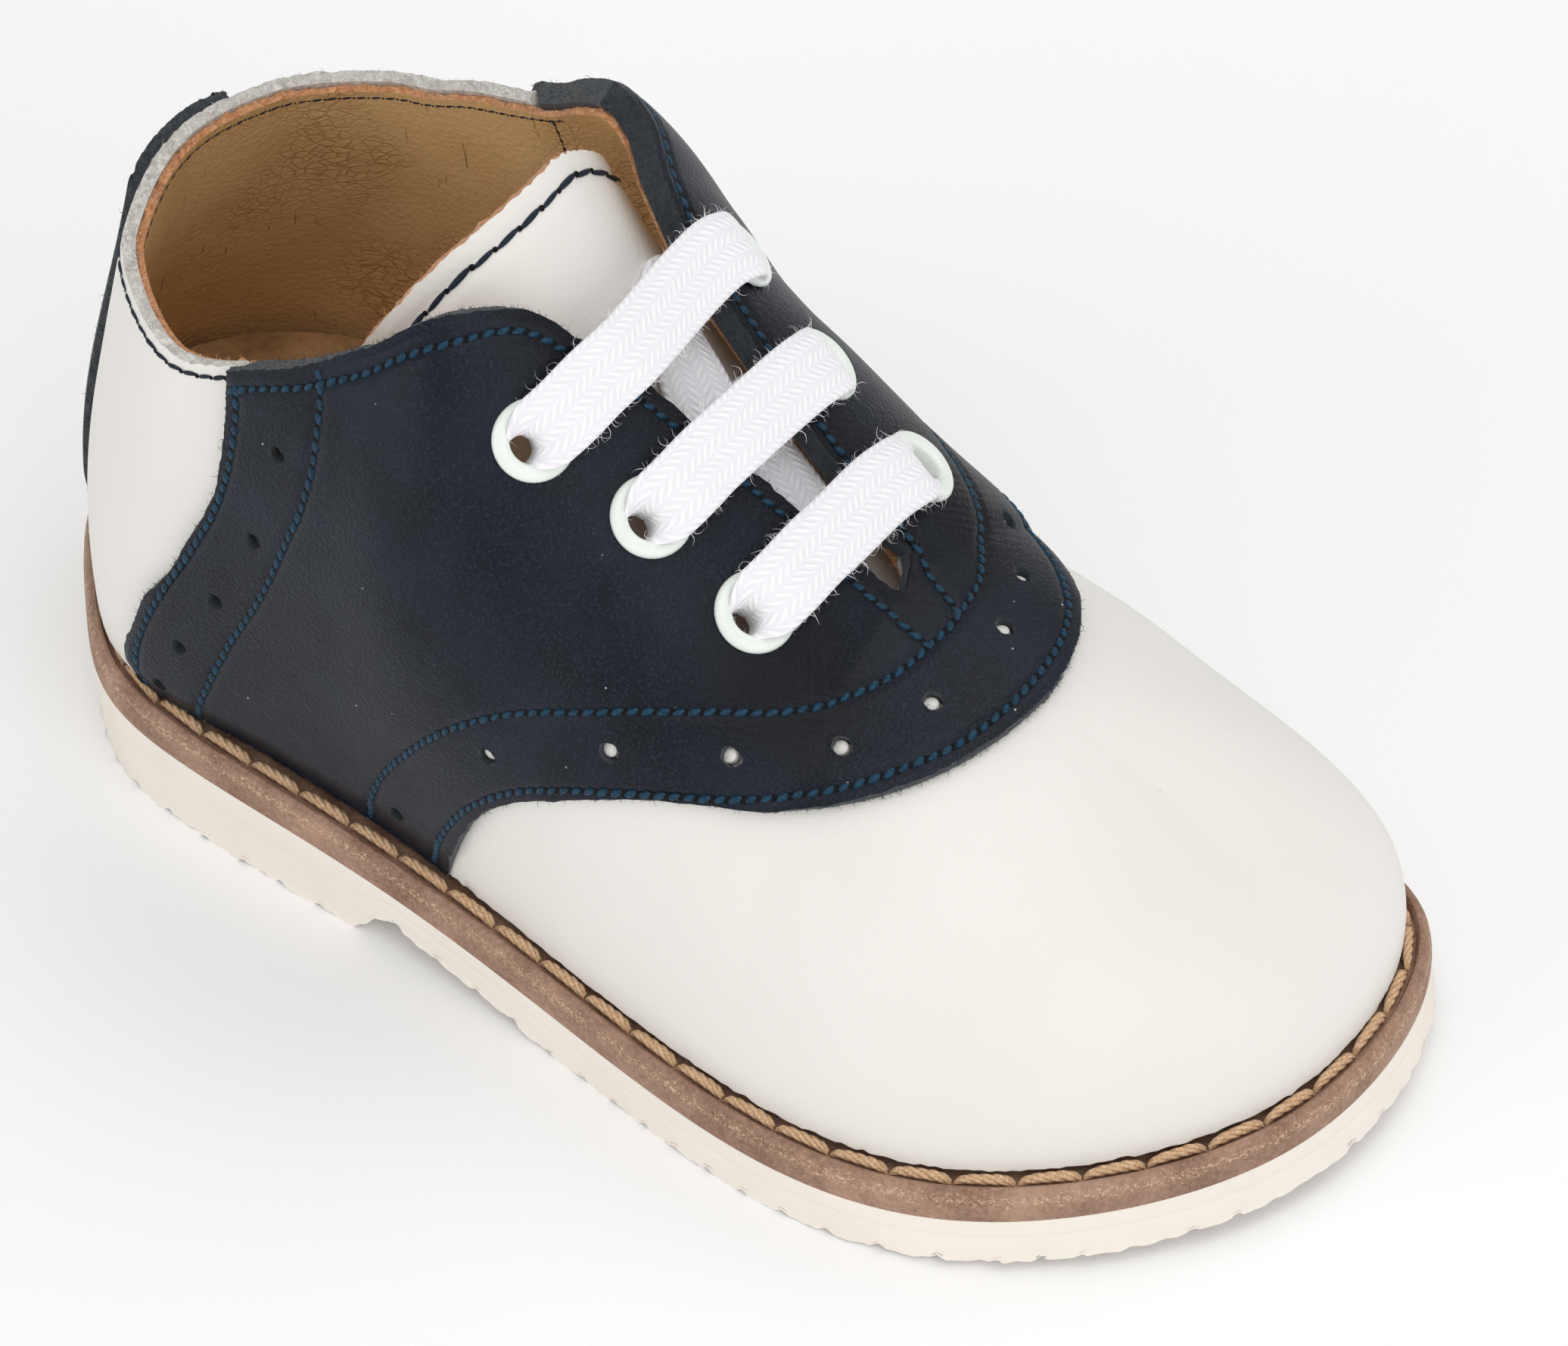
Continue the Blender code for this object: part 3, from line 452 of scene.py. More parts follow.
# %% Tan lining leather
def make_lining_leather():
    made, tree, shader, place = new_material("tan_lining_leather", roughness=0.55, ior=1.45)
    marks = add(tree, "ShaderNodeAttribute", attribute_name="marks").outputs["Vector"]
    bent = add(tree, "ShaderNodeTexNoise",
               {"Vector": place, "Scale": 1 / (5 * MM), "Detail": 3.0}).outputs["Color"]
    bent = add(tree, "ShaderNodeVectorMath",
               {0: bent, 1: (2.4 * MM, 2.4 * MM, 0)}, operation="MULTIPLY").outputs[0]
    bent = add(tree, "ShaderNodeVectorMath", {0: marks, 1: bent}, operation="ADD").outputs[0]
    cells = add(tree, "ShaderNodeMapping",
                {"Vector": bent, "Scale": (1 / (1.7 * MM), 1 / (1.1 * MM), 1.0)}).outputs[0]
    crack = add(tree, "ShaderNodeTexVoronoi", {"Vector": cells, "Scale": 1.0}, feature="DISTANCE_TO_EDGE")
    crack = add(tree, "ShaderNodeMapRange", {"Value": crack.outputs["Distance"], "From Max": 0.11}).outputs[0]
    where = add(tree, "ShaderNodeTexNoise",
                {"Vector": place, "Scale": 1 / (13 * MM), "Detail": 2.0}).outputs[0]
    where = add(tree, "ShaderNodeMapRange", {"Value": where, "From Min": 0.48, "From Max": 0.68}).outputs[0]
    crack = add(tree, "ShaderNodeMix", {0: where, 2: 1.0, 3: crack}).outputs[0]
    tall = add(tree, "ShaderNodeMapping",
               {"Vector": marks, "Scale": (1 / (0.9 * MM), 1 / (7 * MM), 1.0)}).outputs[0]
    scratch = add(tree, "ShaderNodeTexNoise",
                  {"Vector": tall, "Scale": 1.0, "Detail": 3.0, "Distortion": 0.4}).outputs[0]
    scratch = add(tree, "ShaderNodeMapRange",
                  {"Value": scratch, "From Min": 0.67, "From Max": 0.73}).outputs[0]
    cloud = add(tree, "ShaderNodeTexNoise", {"Vector": place, "Scale": 60.0, "Detail": 4.0}).outputs[0]
    cloud = add(tree, "ShaderNodeMapRange", {"Value": cloud, "From Min": 0.3, "From Max": 0.7}).outputs[0]
    tan = add(tree, "ShaderNodeMix", {0: cloud, 6: linear("#D0A66E"), 7: linear("#E6C08A")}, data_type="RGBA")
    lined = add(tree, "ShaderNodeMix", {0: crack, 6: linear("#C29762"), 7: tan.outputs[2]}, data_type="RGBA")
    colour = add(tree, "ShaderNodeMix",
                 {0: scratch, 6: lined.outputs[2], 7: linear("#A0774A")}, data_type="RGBA")
    grain = add(tree, "ShaderNodeTexVoronoi", {"Vector": place, "Scale": 1 / (0.6 * MM)}).outputs["Distance"]
    height = add(tree, "ShaderNodeMath", {0: crack, 1: 1.6, 2: grain}, operation="MULTIPLY_ADD").outputs[0]
    link_surface(tree, shader, colour.outputs[2], height, 0.35, 0.2 * MM)
    return made


lining_leather = make_lining_leather()


# %% [markdown]
# The insole is covered with tan suede, the buffed flesh side of leather: a short nap that is lighter and
# darker in soft patches, with no gloss at all and a faint sheen at a low angle.

# %% Tan suede
def make_suede():
    made, tree, shader, place = new_material("tan_suede", roughness=0.95, ior=1.4, sheen_weight=0.3,
                                             sheen_roughness=0.4)
    nap = add(tree, "ShaderNodeTexNoise",
              {"Vector": place, "Scale": 1 / (0.9 * MM), "Detail": 4.0}).outputs[0]
    patch = add(tree, "ShaderNodeTexNoise",
                {"Vector": place, "Scale": 1 / (9 * MM), "Detail": 2.0}).outputs[0]
    share = add(tree, "ShaderNodeMath", {0: nap, 1: 0.6, 2: patch}, operation="MULTIPLY_ADD").outputs[0]
    share = add(tree, "ShaderNodeMapRange", {"Value": share, "From Min": 0.5, "From Max": 1.1}).outputs[0]
    colour = add(tree, "ShaderNodeMix",
                 {0: share, 6: linear("#84633E"), 7: linear("#BC966A")}, data_type="RGBA")
    link_surface(tree, shader, colour.outputs[2], nap, 0.6, 0.25 * MM)
    return made


insole_suede = make_suede()


# %% [markdown]
# The outsole is moulded cream rubber with a matt skin. The welt is leather board, cut and burnished brown:
# pale flecks of fibre sit in it, most of them along its worn ridge.

# %% Cream rubber and brown welt board
def make_rubber():
    made, tree, shader, place = new_material("cream_rubber", roughness=0.58, ior=1.52)
    cloud = add(tree, "ShaderNodeTexNoise", {"Vector": place, "Scale": 120.0, "Detail": 4.0}).outputs[0]
    colour = add(tree, "ShaderNodeMix",
                 {0: cloud, 6: linear("#E6DED3"), 7: linear("#F1EAE1")}, data_type="RGBA")
    skin = add(tree, "ShaderNodeTexNoise",
               {"Vector": place, "Scale": 1 / (0.35 * MM), "Detail": 2.0}).outputs[0]
    link_surface(tree, shader, colour.outputs[2], skin, 0.12, 0.08 * MM)
    return made


def make_welt_board():
    made, tree, shader, place = new_material("burnished_leather_board", roughness=0.6,
                                             specular_ior_level=0.35)
    marks = add(tree, "ShaderNodeAttribute", attribute_name="marks").outputs["Vector"]
    grit = add(tree, "ShaderNodeTexNoise",
               {"Vector": place, "Scale": 1 / (0.5 * MM), "Detail": 4.0}).outputs[0]
    cloud = add(tree, "ShaderNodeTexNoise",
                {"Vector": place, "Scale": 1 / (6 * MM), "Detail": 2.0}).outputs[0]
    share = add(tree, "ShaderNodeMath", {0: grit, 1: 0.8, 2: cloud}, operation="MULTIPLY_ADD").outputs[0]
    share = add(tree, "ShaderNodeMapRange", {"Value": share, "From Min": 0.65, "From Max": 1.15}).outputs[0]
    brown = add(tree, "ShaderNodeMix",
                {0: share, 6: linear("#7D5D4A"), 7: linear("#A98873")}, data_type="RGBA")
    climb = add(tree, "ShaderNodeSeparateXYZ", {0: marks}).outputs[1]
    ridge = add(tree, "ShaderNodeMath", {0: climb, 1: 3.3 * MM}, operation="SUBTRACT").outputs[0]
    ridge = add(tree, "ShaderNodeMath", {0: ridge}, operation="ABSOLUTE").outputs[0]
    ridge = add(tree, "ShaderNodeMapRange",
                {"Value": ridge, "From Max": 1.1 * MM, "To Min": 0.14, "To Max": 0.0}).outputs[0]
    fleck = add(tree, "ShaderNodeMapping", {"Vector": marks, "Scale": (2600.0, 3900.0, 1.0)}).outputs[0]
    fleck = add(tree, "ShaderNodeTexNoise",
                {"Vector": fleck, "Scale": 1.0, "Detail": 4.0, "Distortion": 1.2}).outputs[0]
    fleck = add(tree, "ShaderNodeMath", {0: fleck, 1: ridge}, operation="ADD").outputs[0]
    fleck = add(tree, "ShaderNodeMapRange", {"Value": fleck, "From Min": 0.63, "From Max": 0.74}).outputs[0]
    colour = add(tree, "ShaderNodeMix",
                 {0: fleck, 6: brown.outputs[2], 7: linear("#C9AA8B")}, data_type="RGBA")
    link_surface(tree, shader, colour.outputs[2], grit, 0.4, 0.2 * MM)
    return made


cream_rubber = make_rubber()
welt_board = make_welt_board()


# %% [markdown]
# Two threads hold the shoe together. A thick waxed linen cord, tan and laid from four strands, sews the
# welt. A fine navy-blue thread sews the leather; between its stitches the shade in each needle hole is
# painted as a dark dot.

# %% Threads
def make_thread(name, dark, light, strand, rough):
    made, tree, shader, place = new_material(name, roughness=rough, specular_ior_level=0.25,
                                             sheen_weight=0.04)
    fibres = add(tree, "ShaderNodeTexNoise", {"Vector": place, "Scale": 1 / strand, "Detail": 4.0}).outputs[0]
    share = add(tree, "ShaderNodeMapRange", {"Value": fibres, "From Min": 0.3, "From Max": 0.7}).outputs[0]
    colour = add(tree, "ShaderNodeMix", {0: share, 6: linear(dark), 7: linear(light)}, data_type="RGBA")
    link_surface(tree, shader, colour.outputs[2], fibres, 0.5, 0.1 * MM)
    return made


welt_cord_thread = make_thread("waxed_linen_cord", "#B48D69", "#E6C5A0", 0.25 * MM, 0.7)
navy_thread = make_thread("navy_polyester_thread", "#061C2C", "#12455F", 0.25 * MM, 0.5)
dark_thread = make_thread("dark_navy_thread", "#0B0F18", "#1F2C3E", 0.25 * MM, 0.6)
# Near-black colour for the painted shadow in the needle holes.
painted_hole_shadow = make_thread("needle_hole_shadow", "#05070A", "#0B0E13", 0.5 * MM, 0.9)


# %% [markdown]
# The eyelets are stamped steel under a pale enamel, slightly green. Enamel is a glass: a clear gloss over
# an even colour, with faint orange-peel waves where it flowed.

# %% Pale enamel
def make_enamel():
    made, tree, shader, place = new_material("pale_enamel", ior=1.5, coat_weight=0.35, coat_roughness=0.12)
    cloud = add(tree, "ShaderNodeTexNoise", {"Vector": place, "Scale": 300.0, "Detail": 3.0}).outputs[0]
    colour = add(tree, "ShaderNodeMix",
                 {0: cloud, 6: linear("#DCE4DC"), 7: linear("#EDF2EC")}, data_type="RGBA")
    gloss = add(tree, "ShaderNodeMapRange", {"Value": cloud, "To Min": 0.26, "To Max": 0.40})
    tree.links.new(gloss.outputs[0], shader["Roughness"])
    peel = add(tree, "ShaderNodeTexNoise",
               {"Vector": place, "Scale": 1 / (1.2 * MM), "Detail": 1.0}).outputs[0]
    link_surface(tree, shader, colour.outputs[2], peel, 0.08, 0.1 * MM)
    return made


enamel = make_enamel()


# %% [markdown]
# The lace is braided from white cotton. Its floats slant one way in one stripe and the other way in the
# next, a herringbone with stripes a little over a millimetre wide. The pattern follows the lace, so it
# reads the distance along and across that is stored on the mesh: a saw-tooth of the slanted distance draws
# each float. The same pattern raises the bump and darkens the colour between floats and stripes as painted
# shade.

# %% Braided cotton
STRIPE = 1.45 * MM
FLOAT_PITCH = 0.95 * MM


def make_cotton():
    made, tree, shader, place = new_material("braided_white_cotton", roughness=0.9, ior=1.45,
                                             sheen_weight=0.35, sheen_roughness=0.45)
    marks = add(tree, "ShaderNodeAttribute", attribute_name="marks").outputs["Vector"]
    wander = add(tree, "ShaderNodeTexNoise",
                 {"Vector": place, "Scale": 1 / (1.5 * MM), "Detail": 2.0}).outputs[0]
    marks = add(tree, "ShaderNodeSeparateXYZ", {0: marks})
    along, across = marks.outputs[0], marks.outputs[1]
    slant = add(tree, "ShaderNodeMath", {0: across, 1: STRIPE}, operation="PINGPONG").outputs[0]
    lean = add(tree, "ShaderNodeMath", {0: slant, 1: 0.9, 2: along}, operation="MULTIPLY_ADD").outputs[0]
    lean = add(tree, "ShaderNodeMath",
               {0: wander, 1: 0.25 * MM, 2: lean}, operation="MULTIPLY_ADD").outputs[0]
    thread = add(tree, "ShaderNodeMath", {0: lean, 1: FLOAT_PITCH / 2}, operation="PINGPONG").outputs[0]
    thread = add(tree, "ShaderNodeMapRange",
                 {"Value": thread, "From Max": FLOAT_PITCH / 2}, interpolation_type="SMOOTHSTEP").outputs[0]
    stripe = add(tree, "ShaderNodeMath", {0: slant, 1: STRIPE / 2}, operation="PINGPONG").outputs[0]
    stripe = add(tree, "ShaderNodeMapRange", {"Value": stripe, "From Max": STRIPE / 3}).outputs[0]
    weave_relief_and_shade = add(tree, "ShaderNodeMath", {0: thread, 1: stripe}, operation="MULTIPLY").outputs[0]
    fuzz = add(tree, "ShaderNodeTexNoise",
               {"Vector": place, "Scale": 1 / (0.3 * MM), "Detail": 3.0}).outputs[0]
    # The weave darkens the white between the floats, as painted shade in the grooves; the fuzz is a tone that
    # varies at random.
    share = add(tree, "ShaderNodeMath", {0: fuzz, 1: 0.35, 2: weave_relief_and_shade}, operation="MULTIPLY_ADD").outputs[0]
    colour = add(tree, "ShaderNodeMix",
                 {0: share, 6: linear("#E8E5EA"), 7: linear("#F9F8FA")}, data_type="RGBA")
    link_surface(tree, shader, colour.outputs[2], share, 0.6, 0.22 * MM)
    return made


cotton = make_cotton()
print(len(bpy.data.materials), "materials")

# %% [markdown]
# A finished piece needs the same few steps each time: smooth shading that breaks at cut edges, its
# materials, a place in the scene, and the calls that tie it to the frame. One function does that. Two more
# build the meshes that this shoe is full of: a slab that follows the sole's outline, and a leather wall
# between two sheets.

# %% Putting a piece in the scene
def add_piece(name, mesh, nodes=(), materials=()):
    """Makes a mesh a piece that rides on the shoe and stands for the named solids."""
    for made in materials:
        mesh.materials.append(made)
    mesh.shade_smooth()
    mesh.set_sharp_from_angle(angle=math.radians(38))
    piece = bpy.data.objects.new(name, mesh)
    scene.collection.objects.link(piece)
    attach(piece, "root")
    if nodes:
        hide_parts(*nodes)
    print(name, sum(len(face.vertices) - 2 for face in mesh.polygons), "triangles")
    return piece


def mesh_from(name, bm):
    """Mesh of a finished bmesh."""
    mesh = bpy.data.meshes.new(name)
    bm.to_mesh(mesh)
    bm.free()
    return mesh


def bridge(bm, loops):
    """Bands of faces between each loop of points and the next."""
    for low, high in zip(loops, loops[1:]):
        for i in range(len(low)):
            j = (i + 1) % len(low)
            bm.faces.new((low[i], low[j], high[j], high[i]))


# %% Slab along the outline
SOLE_COLUMNS = 420
HALF_RUN = 0.19


def outline_ring(inset, height, count=SOLE_COLUMNS):
    """Outer and inner half of a loop of the outline, with insets by share along and heights by place."""
    along = np.linspace(0, 1, count)
    halves = []
    for side in (OUTER, INNER):
        plan, _ = on_outline(side, along, np.broadcast_to(inset(along, side), along.shape))
        halves.append(np.c_[plan, np.broadcast_to(height(plan[:, 0], plan[:, 1], along, side), along.shape)])
    return halves


def add_cap(bm, loop, height, across, turned):
    """Closes a loop with strips across it, whose points take their heights from a function of place."""
    count = len(loop)
    half = count // 2
    outer = np.array([loop[i].co for i in range(half + 1)])
    inner = np.array([loop[-i % count].co for i in range(half + 1)])
    share = np.linspace(0, 1, across + 1)[None, :, None]
    grid = outer[:, None] * (1 - share) + inner[:, None] * share
    grid[..., 2] = height(grid[..., 0], grid[..., 1])
    rows = [[loop[0]]]
    for i in range(1, half):
        rows.append([loop[i]] + [bm.verts.new(p) for p in grid[i, 1:-1]] + [loop[-i]])
    rows.append([loop[half]])
    for first, second in zip(rows, rows[1:]):
        for j in range(across):
            corners = [first[min(j, len(first) - 1)], second[min(j, len(second) - 1)],
                       second[min(j + 1, len(second) - 1)], first[min(j + 1, len(first) - 1)]]
            corners = list(dict.fromkeys(corners))
            bm.faces.new(corners[::-1] if turned else corners)


def slab(name, rings, bottom, top, across=20):
    """Closed solid through loops of the outline; each point keeps its distance along and up the edge."""
    bm = bmesh.new()
    marks = bm.verts.layers.float_vector.new("marks")
    loops = []
    climb = 0.0
    for number, (outer, inner) in enumerate(rings):
        if number:
            climb += float(np.linalg.norm(outer - rings[number - 1][0], axis=1).mean())
        loop = []
        for half in (outer, inner[-2:0:-1]):
            loop += [bm.verts.new(p) for p in half]
        share = np.linspace(0, 1, len(outer))
        for vert, s in zip(loop, np.r_[share, share[-2:0:-1]]):
            vert[marks] = (s * HALF_RUN, climb, 0.0)
        loops.append(loop)
    bridge(bm, loops)
    add_cap(bm, loops[0], bottom, across, True)
    add_cap(bm, loops[-1], top, across, False)
    return mesh_from(name, bm)


# %% [markdown]
# The outsole is one moulding: thicker under the heel, with a small notch ahead of it. Its lower edge ends
# in a thin torn lip, where the rubber was trimmed, and shallow grooves of the tread come out at that edge.
# The rings climb from the tread over the lip and up the wall, so lip and nicks are real shapes.

# %% Outsole
BREAST = np.array(((0.353, 0.0), (0.368, 0.0029), (0.381, 0.0036), (0.413, 0.0026), (0.474, 0.0013),
                   (0.518, 0.0)))
TREAD_PITCH = 4.6 * MM
TREAD_DEPTH = 0.7 * MM
LIP = 0.16 * MM
LIP_HEIGHT = 0.38 * MM


def floor_line(x):
    """Underside without its tread: flat heel and forefoot, the notch between them, the rise of the toe."""
    notch = np.interp(sole_share(x), BREAST[:, 0], BREAST[:, 1], left=0.0, right=0.0)
    return np.maximum(toe_lift(x), notch)


def tread_depth(x, y):
    """Depth of wavy grooves across the sole."""
    wave = x + 1.5 * MM * np.sin(2 * np.pi * y / (13 * MM))
    return TREAD_DEPTH * np.clip((np.cos(2 * np.pi * wave / TREAD_PITCH) - 0.72) / 0.28, 0, 1)


def ragged(seed, smooth, side):
    """Uneven run from -1 to 1 along one half of the outline."""
    rough = np.random.default_rng(seed + side).normal(size=SOLE_COLUMNS)
    kernel = np.hanning(smooth + 2)[1:-1]
    run = np.convolve(rough, kernel / np.sqrt((kernel**2).sum()), mode="same")
    ends = np.clip(np.minimum(np.arange(SOLE_COLUMNS), np.arange(SOLE_COLUMNS)[::-1]) / 8, 0, 1)
    return np.clip(run * 0.5, -1, 1) * ends


def floor_inset(along):
    taper = HEEL_TAPER * np.clip(1 - along / HEEL_TAPER_END, 0, 1)
    return taper - np.interp(along, FLARE_SPAN, (0, FOREFOOT_FLARE))


def lip_bottom(x, y, along, side):
    return floor_line(x) + 0.22 * MM * np.clip(ragged(11, 3, side), 0, 1) + 0.6 * tread_depth(x, y)


def wall_ring(share, extra=0.0):
    """Loop at a share of the way up the sole's wall."""
    return outline_ring(
        lambda along, side: floor_inset(along) * (1 - share) ** 1.1 + extra,
        lambda x, y, along, side: floor_line(x) * (1 - share) + share * (sole_top(x) - 0.05 * MM)
        + (1 - share) * LIP_HEIGHT)


sole_rings = [
    outline_ring(lambda along, side: floor_inset(along) + 0.5 * MM,
                 lambda x, y, along, side: floor_line(x) + tread_depth(x, y)),
    outline_ring(lambda along, side: floor_inset(along) - LIP * (0.6 + ragged(3, 4, side)), lip_bottom),
    outline_ring(lambda along, side: floor_inset(along) - LIP * (0.4 + 0.8 * ragged(3, 4, side)),
                 lambda x, y, along, side: lip_bottom(x, y, along, side) + 0.2 * MM),
]
WALL_STEPS = (
    (0.03, 0.02), (0.12, 0.0), (0.25, 0.0), (0.4, 0.0), (0.54, 0.0), (0.56, 0.05),
    (0.58, 0.0), (0.72, 0.0), (0.86, 0.0), (0.95, 0.0), (0.985, 0.08), (1.0, 0.3),
)
for share, extra in WALL_STEPS:
    sole_rings.append(wall_ring(share, extra * MM))
outsole_mesh = slab("rubber_outsole", sole_rings, lambda x, y: floor_line(x) + tread_depth(x, y),
                    lambda x, y: sole_top(x) - 0.05 * MM, across=36)
add_piece("rubber_outsole", outsole_mesh, ["outsole"], [cream_rubber])

# %% [markdown]
# The welt is the edge of a board between the sole and the upper. Its side is rounded by wear, and a groove
# along its top takes the cord. Past the groove the board runs on under the upper.

# %% Welt
WELT_PROFILE = (
    (0.45, -0.12), (0.12, -0.10), (0.02, 0.00), (-0.04, 0.16), (-0.05, 0.34), (0.00, 0.52),
    (0.12, 0.68), (0.32, 0.81), (0.58, 0.90), (0.90, 0.95), (1.16, 0.94), (1.32, 0.88),
    (1.42, 0.78), (1.56, 0.73), (2.60, 0.72), (5.40, 0.72), (5.70, 1.00),
)
welt_rings = []
for inset, share in WELT_PROFILE:
    welt_rings.append(outline_ring(lambda along, side: np.full_like(along, inset * MM),
                                   lambda x, y, along, side: sole_top(x) + share * WELT_THICKNESS, 300))
welt_mesh = slab("leather_welt", welt_rings, lambda x, y: sole_top(x) - 0.12 * WELT_THICKNESS,
                 lambda x, y: welt_top(x), across=4)
add_piece("leather_welt", welt_mesh, ["welt"], [welt_board])

# %% [markdown]
# Stitches, cords, eyelets and punch holes repeat along paths or at marked places, so Geometry Nodes place
# them. The first tree takes a path that carries the direction out of the surface, spaces points along it at
# the pitch, turns one stitch to lie along the path, and makes the copies real. The second one does the same
# at given points.

# %% Trees that repeat a shape
def new_tree(name, **kinds):
    """Geometry tree with inputs of the given kinds; gives the tree and the sockets they come in by."""
    tree = bpy.data.node_groups.new(name, "GeometryNodeTree")
    tree.interface.new_socket("Geometry", in_out="OUTPUT", socket_type="NodeSocketGeometry")
    for label, kind in kinds.items():
        tree.interface.new_socket(label.replace("_", " "), in_out="INPUT", socket_type="NodeSocket" + kind)
    return tree, add(tree, "NodeGroupInput").outputs


def repeat_tree(name, on_path):
    """Tree that sets a shape along paths at a pitch, or on the points it is given."""
    tree, given = new_tree(name, Geometry="Geometry", Shape="Object", Pitch="Float", Unevenness="Float",
                           Material="Material", Hole_Material="Material")
    points = given["Geometry"]
    if on_path:
        curve = add(tree, "GeometryNodeMeshToCurve", {0: points}).outputs[0]
        points = add(tree, "GeometryNodeResampleCurve",
                     {"Curve": curve, "Length": given["Pitch"]}, mode="LENGTH")
        points = points.outputs[0]
        run = add(tree, "GeometryNodeInputTangent").outputs[0]
    else:
        run = add(tree, "GeometryNodeInputNamedAttribute",
                  {"Name": "run"}, data_type="FLOAT_VECTOR").outputs[0]
    out = add(tree, "GeometryNodeInputNamedAttribute", {"Name": "out"}, data_type="FLOAT_VECTOR").outputs[0]
    lie = add(tree, "FunctionNodeAlignRotationToVector", {"Vector": run}, axis="X").outputs[0]
    lie = add(tree, "FunctionNodeAlignRotationToVector",
              {"Rotation": lie, "Vector": out}, axis="Z", pivot_axis="X")
    shape = add(tree, "GeometryNodeObjectInfo", {"Object": given["Shape"]}).outputs["Geometry"]
    less = add(tree, "ShaderNodeMath", {0: 1.0, 1: given["Unevenness"]}, operation="SUBTRACT").outputs[0]
    more = add(tree, "ShaderNodeMath", {0: 1.0, 1: given["Unevenness"]}, operation="ADD").outputs[0]
    size = add(tree, "FunctionNodeRandomValue", {2: less, 3: more, "Seed": 7}, data_type="FLOAT").outputs[1]
    copies = add(tree, "GeometryNodeInstanceOnPoints", {"Points": points, "Instance": shape, "Scale": size,
                                                        "Rotation": lie.outputs[0]}).outputs[0]
    real = add(tree, "GeometryNodeRealizeInstances", {0: copies}).outputs[0]
    thread = add(tree, "GeometryNodeSetMaterial",
                 {"Geometry": real, "Material": given["Material"]}).outputs[0]
    # Faces flagged as hole take the second material: painted shadow in the needle holes.
    hole = add(tree, "GeometryNodeInputNamedAttribute", {"Name": "hole"}, data_type="BOOLEAN").outputs[0]
    done = add(tree, "GeometryNodeSetMaterial",
               {"Geometry": thread, "Selection": hole, "Material": given["Hole Material"]})
    add(tree, "NodeGroupOutput", {0: done.outputs[0]})
    return tree


def run_tree(tree, base, values):
    """Plain mesh that a tree makes of a base mesh, with inputs given by name."""
    helper = bpy.data.objects.new(base.name, base)
    scene.collection.objects.link(helper)
    modifier = helper.modifiers.new("Nodes", "NODES")
    modifier.node_group = tree
    for item in tree.interface.items_tree:
        if item.in_out == "INPUT" and item.name in values:
            modifier[item.identifier] = values[item.name]
    depsgraph = bpy.context.evaluated_depsgraph_get()
    mesh = bpy.data.meshes.new_from_object(helper.evaluated_get(depsgraph))
    helper.modifiers.remove(modifier)
    bpy.data.objects.remove(helper, do_unlink=True)
    return mesh


along_path = repeat_tree("repeat_along_path", True)
at_points = repeat_tree("repeat_at_points", False)


# %% Paths and points that carry directions
def path_mesh(name, lines, joined=True):
    """Mesh of polylines or loose points; each line is its points, directions out and directions of run."""
    points = np.vstack([line[0] for line in lines])
    edges = []
    start = 0
    for line in lines:
        if joined:
            edges += [(start + i, start + i + 1) for i in range(len(line[0]) - 1)]
        start += len(line[0])
    mesh = bpy.data.meshes.new(name)
    mesh.from_pydata(points.tolist(), edges, [])
    for label, index in (("out", 1), ("run", 2)):
        if len(lines[0]) > index:
            layer = mesh.attributes.new(label, "FLOAT_VECTOR", "POINT")
            values = np.vstack([line[index] for line in lines]).astype(np.float32)
            layer.data.foreach_set("vector", values.ravel())
    return mesh


def shape_object(name, tubes, hole=None):
    """Helper object of capped tubes through rings of points; hole adds a small dark disc, a painted shadow.
    """
    bm = bmesh.new()
    flag = bm.faces.layers.bool.new("hole")
    for rings in tubes:
        loops = [[bm.verts.new(p) for p in ring] for ring in rings]
        bridge(bm, loops)
        bm.faces.new(loops[0][::-1])
        bm.faces.new(loops[-1])
    if hole is not None:
        bm.faces.new([bm.verts.new(p) for p in hole])[flag] = True
    for face in bm.faces:
        face.smooth = True
    return bpy.data.objects.new(name, mesh_from(name, bm))


# %% [markdown]
# The welt cord lies in the groove in stitches of six millimetres. One stitch is a rope of four strands,
# each a tube that winds round the rope's middle. Both ends dive into the board, the rear one thinner.

# %% Welt cord
CORD_PITCH = 6.0 * MM
CORD_STRANDS = 4
STRAND_RADIUS = 0.28 * MM
LAY_RADIUS = 0.31 * MM
CORD_RADIUS = STRAND_RADIUS + LAY_RADIUS
CORD_INSET = 2.32 * MM
CORD_TURN = 1.25


def cord_stitch():
    angle = np.linspace(0, 2 * np.pi, 10, endpoint=False)
    strands = []
    for strand in range(CORD_STRANDS):
        rings = []
        for s in np.linspace(0, 1, 19):
            dive = abs(2 * s - 1) ** 5
            girth = 1 - 0.40 * dive - 0.22 * (1 - s) ** 2
            turn = 2 * np.pi * (CORD_TURN * s + strand / CORD_STRANDS)
            x = np.full_like(angle, (s - 0.5) * 0.98 * CORD_PITCH)
            y = girth * (LAY_RADIUS * np.cos(turn) + STRAND_RADIUS * np.cos(angle))
            z = girth * (LAY_RADIUS * np.sin(turn) + STRAND_RADIUS * np.sin(angle)) - 0.60 * MM * dive
            rings.append(np.c_[x, y, z])
        strands.append(rings)
    return shape_object("cord_stitch", strands)


